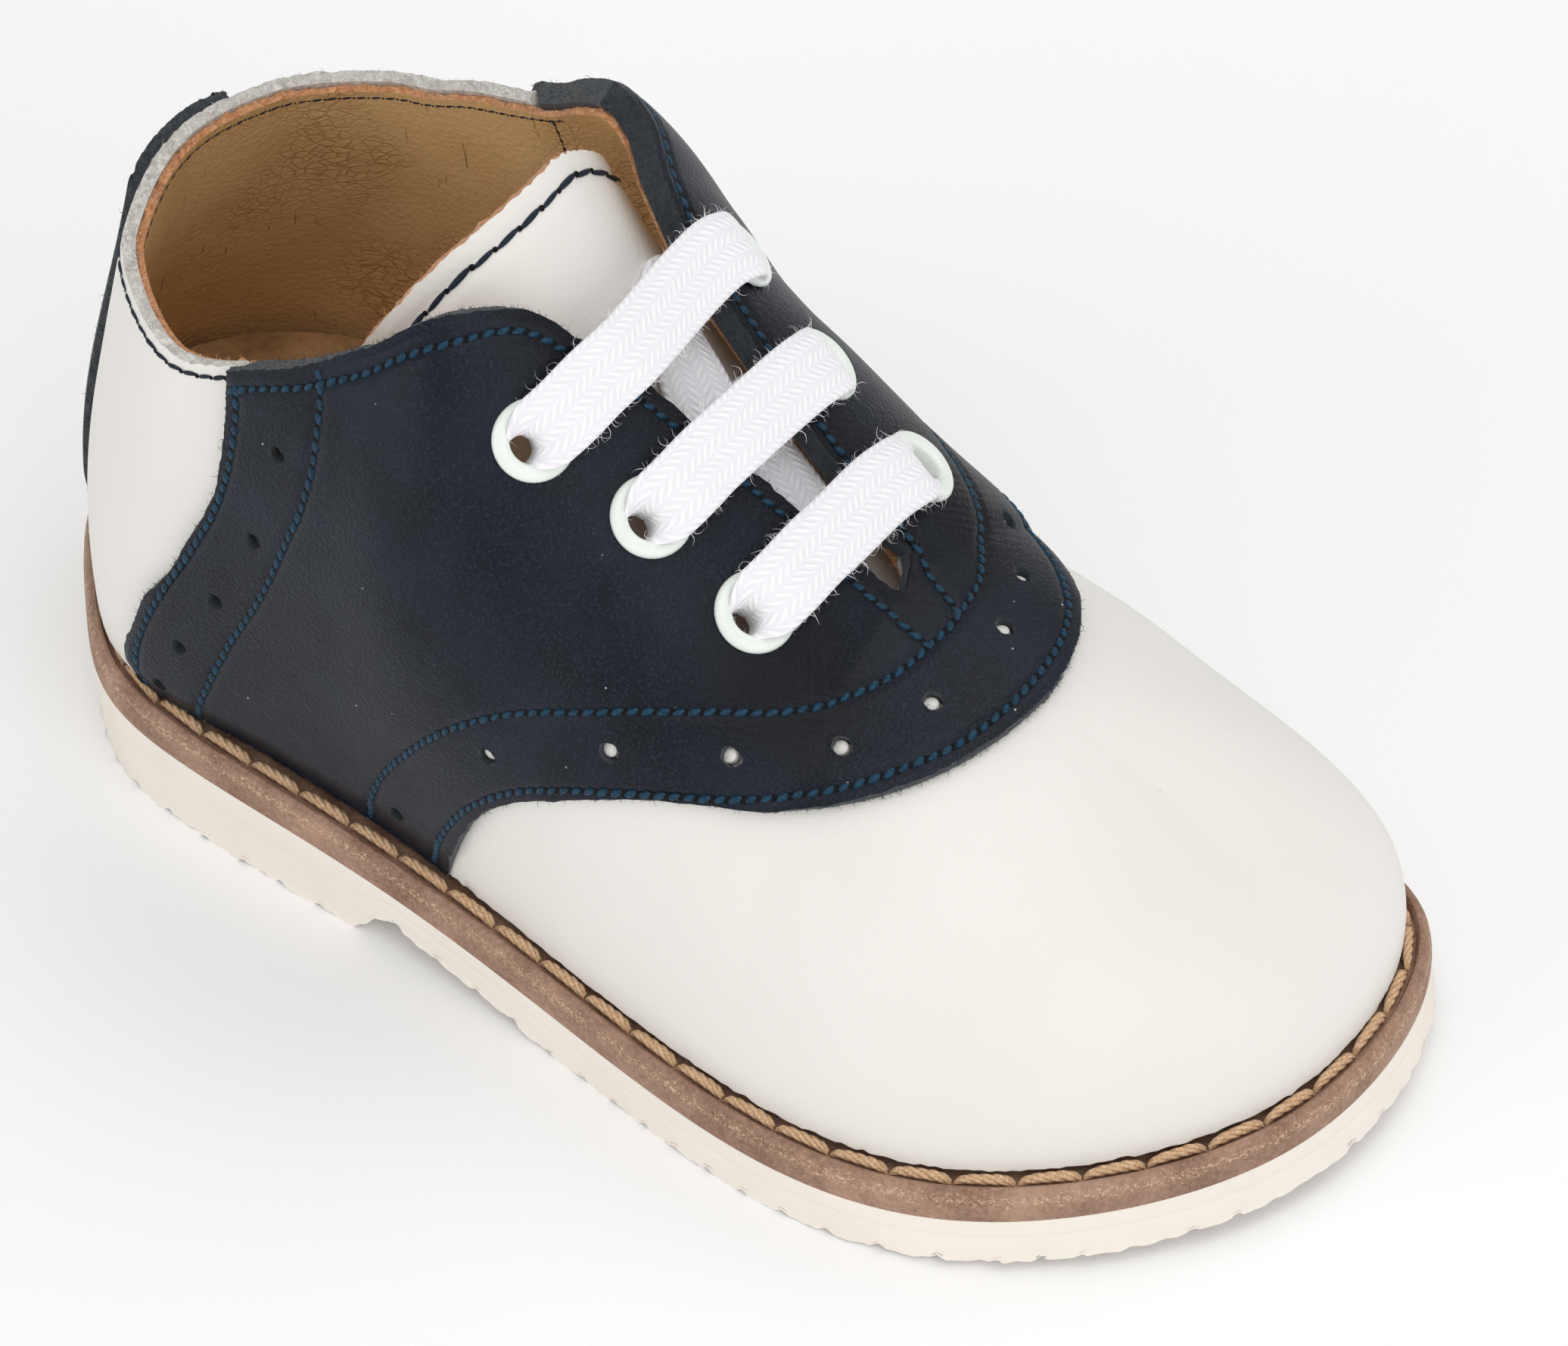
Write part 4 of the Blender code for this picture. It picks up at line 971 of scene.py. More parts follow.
cord_line = outline_ring(lambda along, side: np.full_like(along, CORD_INSET),
                         lambda x, y, along, side: sole_top(x) + 0.72 * WELT_THICKNESS + 1.12 * CORD_RADIUS,
                         400)
cord_points = np.vstack([cord_line[0], cord_line[1][-2::-1]])
cord_out = np.tile((0.0, 0.0, 1.0), (len(cord_points), 1))
cord_sewing = {"Shape": cord_stitch(), "Pitch": CORD_PITCH, "Unevenness": 0.02, "Material": welt_cord_thread,
               "Hole Material": painted_hole_shadow}
cord_mesh = run_tree(along_path, path_mesh("welt_cord", [(cord_points, cord_out)]), cord_sewing)
add_piece("welt_cord", cord_mesh)

# %% [markdown]
# The insole is a board covered with suede, seen through the collar. Under the heel it carries a soft pad,
# so that the suede shows low in the collar as it does in the photograph. Its edge is rounded and stands a
# little away from the lining, which leaves a dark line round it.

# %% Insole
INSOLE_INSET = ((0.0, 4.5 * MM), (0.22, 4.7 * MM), (0.40, 6.5 * MM), (1.0, 6.5 * MM))
INSOLE_THICKNESS = 2.0 * MM
HEEL_PAD = 11.5 * MM
PAD_SPAN = (-34 * MM, -8 * MM)
INSOLE_PROFILE = ((0.4, 0.0), (0.05, 0.1), (0.0, 0.3), (0.0, 0.6), (0.1, 0.86), (0.35, 0.96), (0.8, 1.0),
                  (1.6, 1.01))


def insole_thickness(x):
    share = np.clip((PAD_SPAN[1] - x) / (PAD_SPAN[1] - PAD_SPAN[0]), 0, 1)
    return INSOLE_THICKNESS + HEEL_PAD * share * share * (3 - 2 * share)


insole_rings = []
for inset, share in INSOLE_PROFILE:
    insole_rings.append(outline_ring(
        lambda along, side: np.interp(along, *np.array(INSOLE_INSET).T) + inset * MM,
        lambda x, y, along, side: welt_top(x) + GAP + share * insole_thickness(x), 200))
insole_mesh = slab("suede_insole", insole_rings, lambda x, y: welt_top(x) + GAP,
                   lambda x, y: welt_top(x) + GAP + 1.01 * insole_thickness(x), across=24)
add_piece("suede_insole", insole_mesh, ["insole"], [insole_suede])

# %% [markdown]
# A leather piece is a wall with two faces and a cut rim. It is built as a sheet over the last, one grid for
# the outer side of the foot and one for the inner side, welded where they meet. A second sheet lies under
# it, and a strip of faces joins the two along every open border. Outside, rim and inside each get their own
# material.

# %% Leather wall
def leather_wall(name, sheets, materials, rim_rows, bulge, torn):
    """Closed wall of sheets, each an outside, inside and marks grid; materials are outside, rim, inside."""
    bm = bmesh.new()
    chance = np.random.default_rng(17)
    inside = bm.verts.layers.float_vector.new("inside")
    marks = bm.verts.layers.float_vector.new("marks")
    for side, grids in enumerate(sheets):
        rows = []
        for outside_row, inside_row, mark_row in zip(*(grid.tolist() for grid in grids)):
            row = [bm.verts.new(p) for p in outside_row]
            for vert, partner, mark in zip(row, inside_row, mark_row):
                vert[inside] = partner
                vert[marks] = mark
            rows.append(row)
        for first, second in zip(rows, rows[1:]):
            for j in range(len(first) - 1):
                corners = (first[j], second[j], second[j + 1], first[j + 1])
                bm.faces.new(corners[::-1] if side == INNER else corners)
    bmesh.ops.remove_doubles(bm, verts=bm.verts, dist=0.08 * MM)
    skin = list(bm.faces)
    border = [edge for edge in bm.edges if len(edge.link_faces) == 1]
    partners = {}
    for vert in list(bm.verts):
        partners[vert] = bm.verts.new(vert[inside])
        partners[vert][marks] = vert[marks]
    pushes = {}
    for edge in border:
        push = (edge.verts[0].co + edge.verts[1].co) / 2 - edge.link_faces[0].calc_center_median()
        for vert in edge.verts:
            pushes[vert] = pushes.get(vert, Vector()) + push.normalized()
    ladders = {}
    for vert, push in pushes.items():
        ladder = [vert]
        push = push.normalized()
        tears = chance.normal(0, torn, rim_rows + 1)
        for k in range(1, rim_rows + 1):
            share = k / (rim_rows + 1)
            out = bulge * 4 * share * (1 - share) + tears[k]
            step = bm.verts.new(vert.co.lerp(partners[vert].co, share) + push * out)
            step[marks] = vert[marks]
            ladder.append(step)
        vert.co += push * tears[0]
        ladders[vert] = ladder + [partners[vert]]
    for edge in border:
        loop = edge.link_loops[0]
        here, there = ladders[loop.vert], ladders[loop.link_loop_next.vert]
        for k in range(rim_rows + 1):
            bm.faces.new((there[k], here[k], here[k + 1], there[k + 1])).material_index = 1
    for face in skin:
        bm.faces.new([partners[vert] for vert in reversed(face.verts)]).material_index = 2
    bm.verts.layers.float_vector.remove(inside)
    mesh = mesh_from(name, bm)
    for made in materials:
        mesh.materials.append(made)
    return mesh


# %% Grids over the last
def surface_marks(side, along, up):
    """Distance along and up the surface, in metres, as rough coordinates that follow it."""
    return np.stack([along * HALF_RUN + side * 0.5, up * BACK_HEIGHT, np.zeros_like(up)], -1)


def sheet_over(side, along, up, outside, inside, marks=None):
    """Outside and inside grids of one side of a wall, at lifts over the last."""
    along, up = np.broadcast_arrays(along, up)
    normal = upper_normal(side, along, up)
    place = upper_point(side, along, up)
    marks = surface_marks(side, along, up) if marks is None else marks
    outside, inside = (place + normal * np.asarray(lift)[..., None] for lift in (outside, inside))
    return outside, inside, marks


# %% [markdown]
# At the throat and the collar the leather stops short of the last's ridge. A table for each side says how
# far up the columns of a sheet run, and the upper ends lower where the saddle lies over it.

# %% Where the leather ends at the top
TOPS = {
    OUTER: ((0.0, 1.0), (0.47, 1.0), (0.51, 0.986), (0.57, 0.986), (0.60, 1.0), (1.0, 1.0)),
    INNER: ((0.0, 1.0), (0.365, 1.0), (0.40, 0.958), (0.44, 0.950), (0.621, 0.948), (0.6249, 1.0),
            (1.0, 1.0)),
}
SADDLE_BEGINS = {OUTER: 0.241, INNER: 0.291}


def smooth_step(value, low, high):
    share = np.clip((value - low) / (high - low), 0, 1)
    return share * share * (3 - 2 * share)


def below_top(side, along, share, drop=0.0):
    """Shares up a column whose top is cut lower, as TOPS says."""
    cut = 1 - np.interp(along, *np.array(TOPS[side]).T) + drop
    return share - cut * np.clip((share - 0.5) / 0.5, 0, 1)


def under_saddle(side, along):
    """One where the saddle lies over the upper at the top edge, else zero."""
    begin = SADDLE_BEGINS[side]
    return smooth_step(along, begin, begin + 0.012) * (1 - smooth_step(along, 0.600, 0.614))


# %% [markdown]
# The places of the eyelets come next, because their bores go through saddle, upper and lining. A cutter
# with six short cylinders is made by the second tree and taken away from each wall by a Boolean modifier.

# %% Eyelet places and cutters
ON_SADDLE = 1.6 * MM
EYELET_RADIUS = 4.0 * MM
EYELET_BORE = 2.3 * MM
BARREL_WALL = 0.35 * MM
EYELETS = ((0.447, 0.850, 0.455, 0.855), (0.508, 0.835, 0.518, 0.840), (0.570, 0.808, 0.580, 0.795))


def eyelet_bump(side, along, up):
    """How far the saddle rises past its tangent plane under a flange."""
    centre = over_upper(side, along, up, ON_SADDLE)
    normal = upper_normal(side, along, up)
    span = np.linspace(-1, 1, 15)
    around = along + 0.05 * span[:, None]
    above = np.minimum(up + 0.15 * span[None, :], 1)
    near = over_upper(side, around, above, ON_SADDLE) - centre
    height = near @ normal
    spread = np.linalg.norm(near - height[..., None] * normal, axis=-1)
    return height[spread < 1.05 * EYELET_RADIUS].max()


def eyelet_seats():
    """Centre, direction out and direction to the throat of each eyelet, outer and inner in turn."""
    seats = []
    for along_outer, up_outer, along_inner, up_inner in EYELETS:
        for side, along, up in ((OUTER, along_outer, up_outer), (INNER, along_inner, up_inner)):
            normal = upper_normal(side, along, up)
            centre = over_upper(side, along, up, ON_SADDLE + eyelet_bump(side, along, up))
            toward = upper_point(side, along, min(up + 0.08, 1.0)) - upper_point(side, along, up)
            toward -= normal * (toward @ normal)
            seats.append((centre, normal, toward / np.linalg.norm(toward)))
    return seats


SEATS = eyelet_seats()


def cylinder_shape(name, radius, low, high, sides=20):
    angle = np.linspace(0, 2 * np.pi, sides, endpoint=False)
    ring = np.c_[radius * np.cos(angle), radius * np.sin(angle)]
    return shape_object(name, [[np.c_[ring, np.full(sides, z)] for z in (low, high)]])


def cutter_of(name, lines, shape):
    """Object of many copies of a cutter shape, whose faces take the rim's material."""
    mesh = run_tree(at_points, path_mesh(name, lines, joined=False), {"Shape": shape, "Unevenness": 0.0})
    mesh.polygons.foreach_set("material_index", np.ones(len(mesh.polygons), np.int32))
    cutter = bpy.data.objects.new(name, mesh)
    scene.collection.objects.link(cutter)
    return cutter


def cut_away(mesh, *cutters):
    """Mesh less the cutters."""
    helper = bpy.data.objects.new(mesh.name, mesh)
    scene.collection.objects.link(helper)
    for cutter in cutters:
        boolean = helper.modifiers.new("Cut", "BOOLEAN")
        boolean.operation = "DIFFERENCE"
        boolean.solver = "EXACT"
        boolean.object = cutter
    depsgraph = bpy.context.evaluated_depsgraph_get()
    result = bpy.data.meshes.new_from_object(helper.evaluated_get(depsgraph))
    bpy.data.objects.remove(helper, do_unlink=True)
    return result


seat_points = tuple(np.array([seat[i] for seat in SEATS]) for i in range(3))
bore_shape = cylinder_shape("bore", EYELET_BORE + BARREL_WALL + 0.1 * MM, -9 * MM, 4 * MM, 28)
bore_cutter = cutter_of("eyelet_bores", [seat_points], bore_shape)
print("eyelets", [tuple(round(v * 1000, 1) for v in seat[0]) for seat in SEATS])

# %% [markdown]
# The white upper is one smooth wall from the welt to the collar, open at the throat. Only its heel and its
# vamp show; the saddle lies over the rest, so the upper stops short under the saddle's top edge. Its cut
# rim at the collar is grey-white and fibrous, and a thin lining stands inside it with a rim of its own.

# %% White upper and tan lining
LEATHER = 1.35 * MM
LINING_OUT = 1.38 * MM
LINING_IN = 2.2 * MM


def upper_columns(fine):
    """Shares along, closer together round the end of the throat."""
    return np.r_[np.linspace(0, 0.60, int(130 * fine)), 0.605, 0.609, 0.612, 0.6165, 0.621,
                 np.linspace(THROAT_END, 1, int(75 * fine))]


def wall_sheet(side, columns, rows, outside, inside, drop):
    """Sheet of the upper or its lining, cut lower under the saddle by a drop."""
    along, share = np.broadcast_arrays(columns, rows)
    up = below_top(side, along, share, drop * under_saddle(side, along))
    return sheet_over(side, along, up, np.full(up.shape, outside), np.full(up.shape, inside))


columns = upper_columns(1.2)[:, None]
rows = np.r_[np.linspace(0, 0.94, 50), np.linspace(0.95, 1.0, 8)][None, :]
upper_sheets = [wall_sheet(side, columns, rows, 0.0, -LEATHER, 0.075) for side in (OUTER, INNER)]
upper_mesh = leather_wall("white_upper", upper_sheets, (white_leather, white_edge, white_edge), 4, 0.14 * MM,
                          0.11 * MM)
upper = add_piece("white_upper", cut_away(upper_mesh, bore_cutter), ["upper"])

lining_rows = np.linspace(0.0, 0.990, 60)[None, :]
lining_sheets = [wall_sheet(side, columns, lining_rows, -LINING_OUT, -LINING_IN, 0.006)
                 for side in (OUTER, INNER)]
lining_mesh = leather_wall("tan_lining", lining_sheets, (tan_edge, tan_edge, lining_leather), 2, 0.15 * MM,
                           0.14 * MM)
lining = add_piece("tan_lining", cut_away(lining_mesh, bore_cutter))

# %% [markdown]
# The saddle's seams are lines on the last, given as shares along and up and read off the photograph. Two
# rows bound a band at the rear and two at the front, one follows the collar and the throat, and holes are
# punched along both bands. The lines are needed before the leather, because the leather sinks along every
# seam.

# %% Seams and punch holes of the saddle
SEAMS = {
    "rear edge": (
        (0.247, 0.953), (0.250, 0.873), (0.249, 0.783), (0.241, 0.663), (0.225, 0.537), (0.204, 0.377),
        (0.190, 0.227), (0.184, 0.123), (0.183, 0.012),
    ),
    "rear band": (
        (0.311, 0.972), (0.314, 0.950), (0.318, 0.893), (0.320, 0.800), (0.315, 0.707), (0.301, 0.607),
        (0.281, 0.467), (0.251, 0.280), (0.221, 0.012),
    ),
    "front band": (
        (0.344, 0.012), (0.360, 0.123), (0.391, 0.240), (0.427, 0.340), (0.455, 0.410), (0.481, 0.463),
        (0.508, 0.510), (0.531, 0.553), (0.555, 0.597), (0.576, 0.643), (0.597, 0.690), (0.616, 0.747),
        (0.635, 0.810), (0.652, 0.890), (0.664, 1.000),
    ),
    "front edge": (
        (0.391, 0.012), (0.405, 0.087), (0.421, 0.157), (0.444, 0.233), (0.469, 0.297), (0.494, 0.347),
        (0.517, 0.387), (0.544, 0.433), (0.569, 0.477), (0.593, 0.523), (0.614, 0.570), (0.638, 0.620),
        (0.660, 0.673), (0.682, 0.733), (0.705, 0.803), (0.728, 0.897), (0.748, 1.000),
    ),
    "collar and throat": (
        (0.243, 0.953), (0.275, 0.957), (0.311, 0.952), (0.344, 0.952), (0.371, 0.952), (0.395, 0.962),
        (0.415, 0.970), (0.438, 0.976), (0.466, 0.974), (0.501, 0.966), (0.540, 0.962), (0.579, 0.962),
        (0.605, 0.962), (0.630, 0.954), (0.657, 0.946),
    ),
}
INNER_TOP = ((0.294, 0.960), (0.315, 0.963), (0.345, 0.963), (0.365, 0.957), (0.400, 0.932), (0.440, 0.930),
             (0.500, 0.929), (0.550, 0.929), (0.599, 0.930), (0.617, 0.931), (0.641, 0.948), (0.658, 0.964))
INNER_SHIFT = (0.022, 0.050)
REAR_HOLES = ((0.289, 0.810), (0.274, 0.597), (0.244, 0.407), (0.217, 0.233), (0.201, 0.077))
OUTER_HOLES = ((0.374, 0.087), (0.449, 0.327), (0.524, 0.470), (0.588, 0.590), (0.640, 0.710), (0.680, 0.860))
INNER_HOLES = ((0.691, 0.937), (0.662, 0.790), (0.616, 0.652), (0.558, 0.532), (0.488, 0.402), (0.412, 0.220))
SADDLE_EDGES = np.array((
    (0.00, 0.176, 0.400), (0.10, 0.174, 0.418), (0.20, 0.181, 0.441), (0.27, 0.186, 0.466),
    (0.33, 0.191, 0.496), (0.40, 0.202, 0.532), (0.47, 0.211, 0.571), (0.55, 0.220, 0.617),
    (0.63, 0.231, 0.655), (0.72, 0.239, 0.691), (0.81, 0.241, 0.719), (0.90, 0.240, 0.743),
    (1.00, 0.236, 0.767),
))


def smooth_line(points, count=260):
    """Even run of places along and up through the given ones."""
    points = np.array(points)
    knots = np.r_[0, np.cumsum(np.linalg.norm(np.diff(points, axis=0) * (1, 0.4), axis=1))]
    fine = np.linspace(0, knots[-1], count)
    return monotone(knots, points[:, 0], fine), monotone(knots, points[:, 1], fine)


def tree_of(points):
    """Search tree of points, to measure distances to a line."""
    found = KDTree(len(points))
    for i, point in enumerate(points):
        found.insert(point, i)
    found.balance()
    return found


def distance_to(tree, points):
    flat = points.reshape(-1, 3).tolist()
    return np.array([tree.find(p)[2] for p in flat]).reshape(points.shape[:-1])


def inner_place(points):
    """Rear seams and holes of the inner side, where the saddle starts further from the heel."""
    return [(along + np.interp(up, (0, 1), INNER_SHIFT), up) for along, up in points]


OUTER_LINES = {name: smooth_line(points) for name, points in SEAMS.items()}
INNER_LINES = dict(OUTER_LINES)
for name in ("rear edge", "rear band"):
    INNER_LINES[name] = smooth_line(inner_place(SEAMS[name]))
INNER_LINES["collar and throat"] = smooth_line(INNER_TOP)
SEAM_LINES = {OUTER: OUTER_LINES, INNER: INNER_LINES}
print(len(SEAMS), "seams a side,", 2 * len(REAR_HOLES) + len(OUTER_HOLES) + len(INNER_HOLES), "punch holes")

# %% [markdown]
# The saddle lies on the upper like a thick cloth. Its lift over the last is worked out point by point: full
# thickness in the open, sunk along the seams, skived thinner at its cut edges, and softly folded below the
# lowest eyelet, where the lace pulls. Then the bores and the punch holes are cut right through to the white
# leather.

# %% Navy saddle
SEAM_DEPTH = 0.30 * MM
SEAM_SPREAD = 0.60 * MM
SKIVE = 0.32 * MM
SKIVE_SPREAD = 0.75 * MM
HOLE_RADIUS = 0.98 * MM
FOOT_TUCK = 0.09
RIM_DEPTH = 1.35 * MM
FOLD_CENTRE = (0.596, 0.745)
FOLD_REACH = (3.0 * MM, 11.0 * MM)
FOLD_ACROSS = np.array((-0.26, 0.66, 0.70))
FOLD_ALONG = np.array((0.88, 0.47, -0.06))


def saddle_lift(up):
    """Lift of the saddle over the last: full in the open, tucked in at the welt."""
    return ON_SADDLE * (0.22 + 0.78 * smooth_step(up, 0, FOOT_TUCK))


def saddle_grid(side):
    """Shares along and up of the saddle, with a column at the end of the throat, and the plain shares up."""
    shift = INNER_SHIFT if side == INNER else (0.0, 0.0)
    rear, front = SADDLE_EDGES[-1, 1] + shift[1], SADDLE_EDGES[-1, 2]
    tip = (THROAT_END - rear) / (front - rear)
    across = np.r_[np.linspace(0, tip, 112), np.linspace(tip, 1, 44)[1:]][:, None]
    share = np.r_[np.linspace(0, 0.90, 84), np.linspace(0.905, 1.0, 20)][None, :]
    up = below_top(side, rear + across * (front - rear), share)
    rear = monotone(SADDLE_EDGES[:, 0], SADDLE_EDGES[:, 1], up) + np.interp(up, (0, 1), shift)
    front = monotone(SADDLE_EDGES[:, 0], SADDLE_EDGES[:, 2], up)
    return rear + across * (front - rear), up, np.broadcast_to(share, up.shape)


def saddle_sheet(side):
    along, up, share = saddle_grid(side)
    place = over_upper(side, along, up, saddle_lift(up))
    seams = np.vstack([over_upper(side, *line, saddle_lift(line[1])) for line in SEAM_LINES[side].values()])
    throat = int(np.argmin(np.abs(along[:, -1] - THROAT_END)))
    edges = np.vstack([place[0], place[-1], place[:throat + 1, -1]])
    to_seam = distance_to(tree_of(seams), place)
    to_edge = distance_to(tree_of(edges), place)
    to_throat = distance_to(tree_of(place[throat // 2:throat + 1, -1]), place)
    fold = over_upper(side, *FOLD_CENTRE, ON_SADDLE)
    from_fold = np.linalg.norm(place - fold, axis=-1)
    fold_and_shade_mask = np.clip((FOLD_REACH[1] - from_fold) / (FOLD_REACH[1] - FOLD_REACH[0]), 0, 1)
    fold_and_shade_mask = np.maximum(fold_and_shade_mask, 0.7 * np.exp(-(to_throat / (5 * MM)) ** 2))
    wander = 1.5 * np.sin((place @ FOLD_ALONG) / (4 * MM))
    ripple = np.sin(2 * np.pi * (place @ FOLD_ACROSS) / (3.1 * MM) + wander)
    lift = saddle_lift(up) - SEAM_DEPTH * np.exp(-(to_seam / SEAM_SPREAD) ** 2)
    lift -= SKIVE * np.exp(-(to_edge / SKIVE_SPREAD) ** 2) * smooth_step(up, 0, FOOT_TUCK)
    lift += 0.025 * MM * fold_and_shade_mask * ripple
    inside = 0.05 * MM - RIM_DEPTH * smooth_step(share, 0.94, 0.965) * under_saddle(side, along)
    # The first mark is the fold region: it shapes the fold bump, and the navy material darkens its colour
    # there as painted shade in the creases.
    marks = np.stack([fold_and_shade_mask, place @ FOLD_ACROSS / MM, place @ FOLD_ALONG / MM], -1)
    return sheet_over(side, along, up, np.maximum(lift, 0.25 * MM), inside, marks)


def punch_shape(sides=18):
    """Cutter of a punch hole, not quite round."""
    angle = np.linspace(0, 2 * np.pi, sides, endpoint=False)
    radius = HOLE_RADIUS * (1 + 0.06 * np.cos(2 * angle + 0.7) + 0.05 * np.cos(5 * angle))
    ring = np.c_[radius * np.cos(angle), radius * np.sin(angle)]
    return shape_object("punch", [[np.c_[ring, np.full(sides, z)] for z in (-3 * MM, 2 * MM)]])


def marked_places(side, holes, lift):
    """Points of holes at a lift over the last, with the directions out and along the shoe."""
    along, up = np.array(holes).T
    return (over_upper(side, along, up, lift), upper_normal(side, along, up),
            np.tile((1.0, 0.0, 0.0), (len(along), 1)))


hole_lines = [marked_places(OUTER, REAR_HOLES + OUTER_HOLES, ON_SADDLE),
              marked_places(INNER, tuple(inner_place(REAR_HOLES)) + INNER_HOLES, ON_SADDLE)]
hole_cutter = cutter_of("punch_holes", hole_lines, punch_shape())
saddle_mesh = leather_wall("navy_saddle", [saddle_sheet(side) for side in (OUTER, INNER)],
                           (navy_leather, navy_edge, navy_edge), 4, 0.08 * MM, 0.08 * MM)
saddle = add_piece("navy_saddle", cut_away(saddle_mesh, bore_cutter, hole_cutter), ["saddle"])

# %% [markdown]
# Under the front bands the white leather has been pressed up into the punch holes, so it shows as a light
# spot beside the shaded wall of each hole. A small dome in every hole gives that.

# %% White leather in the holes
DOME = ((-0.3, 0.84), (0.62, 0.84), (0.86, 0.72), (0.98, 0.40))
dome_angle = np.linspace(0, 2 * np.pi, 14, endpoint=False)
dome_rings = []
for height, radius in DOME:
    dome_rings.append(MM * np.c_[radius * np.cos(dome_angle), radius * np.sin(dome_angle),
                                 np.full(14, height)])
dome_lines = [marked_places(OUTER, OUTER_HOLES[1:], 0.0), marked_places(INNER, INNER_HOLES, 0.0)]
dome_values = {"Shape": shape_object("dome", [dome_rings]), "Unevenness": 0.0, "Material": white_leather,
               "Hole Material": white_leather}
dome_mesh = run_tree(at_points, path_mesh("hole_domes", dome_lines, joined=False), dome_values)
add_piece("white_hole_domes", dome_mesh)

# %% [markdown]
# The backstay is a strip of the same navy leather over the seam at the centre back.

# %% Backstay
BACKSTAY_EDGE = ((0.0, 0.036), (0.5, 0.044), (1.0, 0.062))
BACKSTAY_LIFT = 1.2 * MM


def backstay_sheet(side):
    up = np.linspace(0, 1, 90)
    edge = monotone(*np.array(BACKSTAY_EDGE).T, up)
    share = np.linspace(0, 1, 22)[:, None]
    along = share * edge[None, :]
    up = np.broadcast_to(up, along.shape)
    place = over_upper(side, along, up, BACKSTAY_LIFT)
    to_edge = distance_to(tree_of(place[-1]), place)
    to_seam = np.abs(to_edge - 2.0 * MM)
    lift = BACKSTAY_LIFT - 0.25 * MM * np.exp(-(to_edge / SKIVE_SPREAD) ** 2)
    lift -= 0.22 * MM * np.exp(-(to_seam / SEAM_SPREAD) ** 2)
    lift *= 0.3 + 0.7 * smooth_step(up, 0, FOOT_TUCK)
    marks = np.stack([np.zeros_like(up), place[..., 2] / MM, place[..., 1] / MM], -1)
    return sheet_over(side, along, up, lift, np.full(lift.shape, 0.05 * MM), marks)


backstay_mesh = leather_wall("navy_backstay", [backstay_sheet(side) for side in (OUTER, INNER)],
                             (navy_leather, navy_edge, navy_edge), 3, 0.08 * MM, 0.08 * MM)
backstay = add_piece("navy_backstay", backstay_mesh, ["backstay"])

# %% [markdown]
# A stitch of the fine thread is a short bead, round and a little twisted, with a dark disc at its end that
# paints the shadow in the needle hole.
# The tree sets it along every seam. On the saddle it lies in the trough; at the heel collar and beside the
# backstay it lies on the leather.

# %% Stitches
STITCH_PITCH = 1.45 * MM
STITCH_LENGTH = 1.24 * MM
STITCH_RADIUS = 0.33 * MM
STITCH_SLANT = 0.22


def stitch_shape(name, length, radius, pitch):
    rings = []
    angle = np.linspace(0, 2 * np.pi, 8, endpoint=False)
    for s in np.linspace(-1, 1, 6):
        girth = radius * (1 - abs(s) ** 4 * 0.55)
        twist = 1 + 0.10 * np.cos(2 * angle - 2.4 * s)
        y = girth * twist * np.cos(angle) + STITCH_SLANT * radius * 2 * s
        z = 0.8 * girth * twist * np.sin(angle) - 0.35 * radius * abs(s) ** 3
        rings.append(np.c_[np.full(8, s * length / 2), y, z])
    # A flat disc past the stitch's end, in the shadow material: painted shadow in the needle hole.
    hole_shadow_disc = np.c_[1.25 * radius * np.cos(angle) + pitch / 2, 1.15 * radius * np.sin(angle),
                np.full(8, 0.04 * MM)]
    return shape_object(name, [rings], hole_shadow_disc)


def seam_path(side, along, up, lift):
    """Path of a seam at a lift over the last."""
    return over_upper(side, along, up, lift), upper_normal(side, along, up)


seam_paths = []
for side in (OUTER, INNER):
    for line in SEAM_LINES[side].values():
        seam_paths.append(seam_path(side, *line, saddle_lift(line[1]) - SEAM_DEPTH + 0.06 * MM))
stitch = stitch_shape("stitch", STITCH_LENGTH, STITCH_RADIUS, STITCH_PITCH)
sewing = {"Shape": stitch, "Pitch": STITCH_PITCH, "Unevenness": 0.10, "Material": navy_thread,
          "Hole Material": painted_hole_shadow}
add_piece("saddle_stitches", run_tree(along_path, path_mesh("saddle_seams", seam_paths), sewing))

# %% [markdown]
# Finer rows use the same tree: one below the heel collar, one down each side of the backstay, and one of
# small stitches inside, along the top of the lining.

# %% Stitches at the heel and in the lining
HEEL_PITCH = 1.7 * MM
HEEL_ROW = 0.972
LINING_PITCH = 1.4 * MM
LINING_ROW = 0.970
LINING_SEAM_LIFT = -LINING_IN - 0.02 * MM
BACKSTAY_SEAM_IN = 0.0095

heel_paths = []
lining_paths = []
for side, end in ((OUTER, 0.236), (INNER, 0.288)):
    heel_paths.append(seam_path(side, np.linspace(0.064, end, 160), np.full(160, HEEL_ROW), 0.06 * MM))
    up = np.linspace(0.01, 0.985, 160)
    edge = monotone(*np.array(BACKSTAY_EDGE).T, up)
    heel_paths.append(seam_path(side, edge - BACKSTAY_SEAM_IN, up, BACKSTAY_LIFT - 0.16 * MM))
    points, out = seam_path(side, np.linspace(0.0, 0.32, 200), np.full(200, LINING_ROW), LINING_SEAM_LIFT)
    lining_paths.append((points, -out))
points, out = seam_path(INNER, np.full(80, 0.315), np.linspace(0.962, 0.80, 80), LINING_SEAM_LIFT)
lining_paths.append((points, -out))
heel_stitch = stitch_shape("heel_stitch", 1.55 * MM, 0.22 * MM, HEEL_PITCH)
heel_sewing = dict(sewing, Shape=heel_stitch, Pitch=HEEL_PITCH, Material=dark_thread)
add_piece("heel_stitches", run_tree(along_path, path_mesh("heel_seams", heel_paths), heel_sewing))
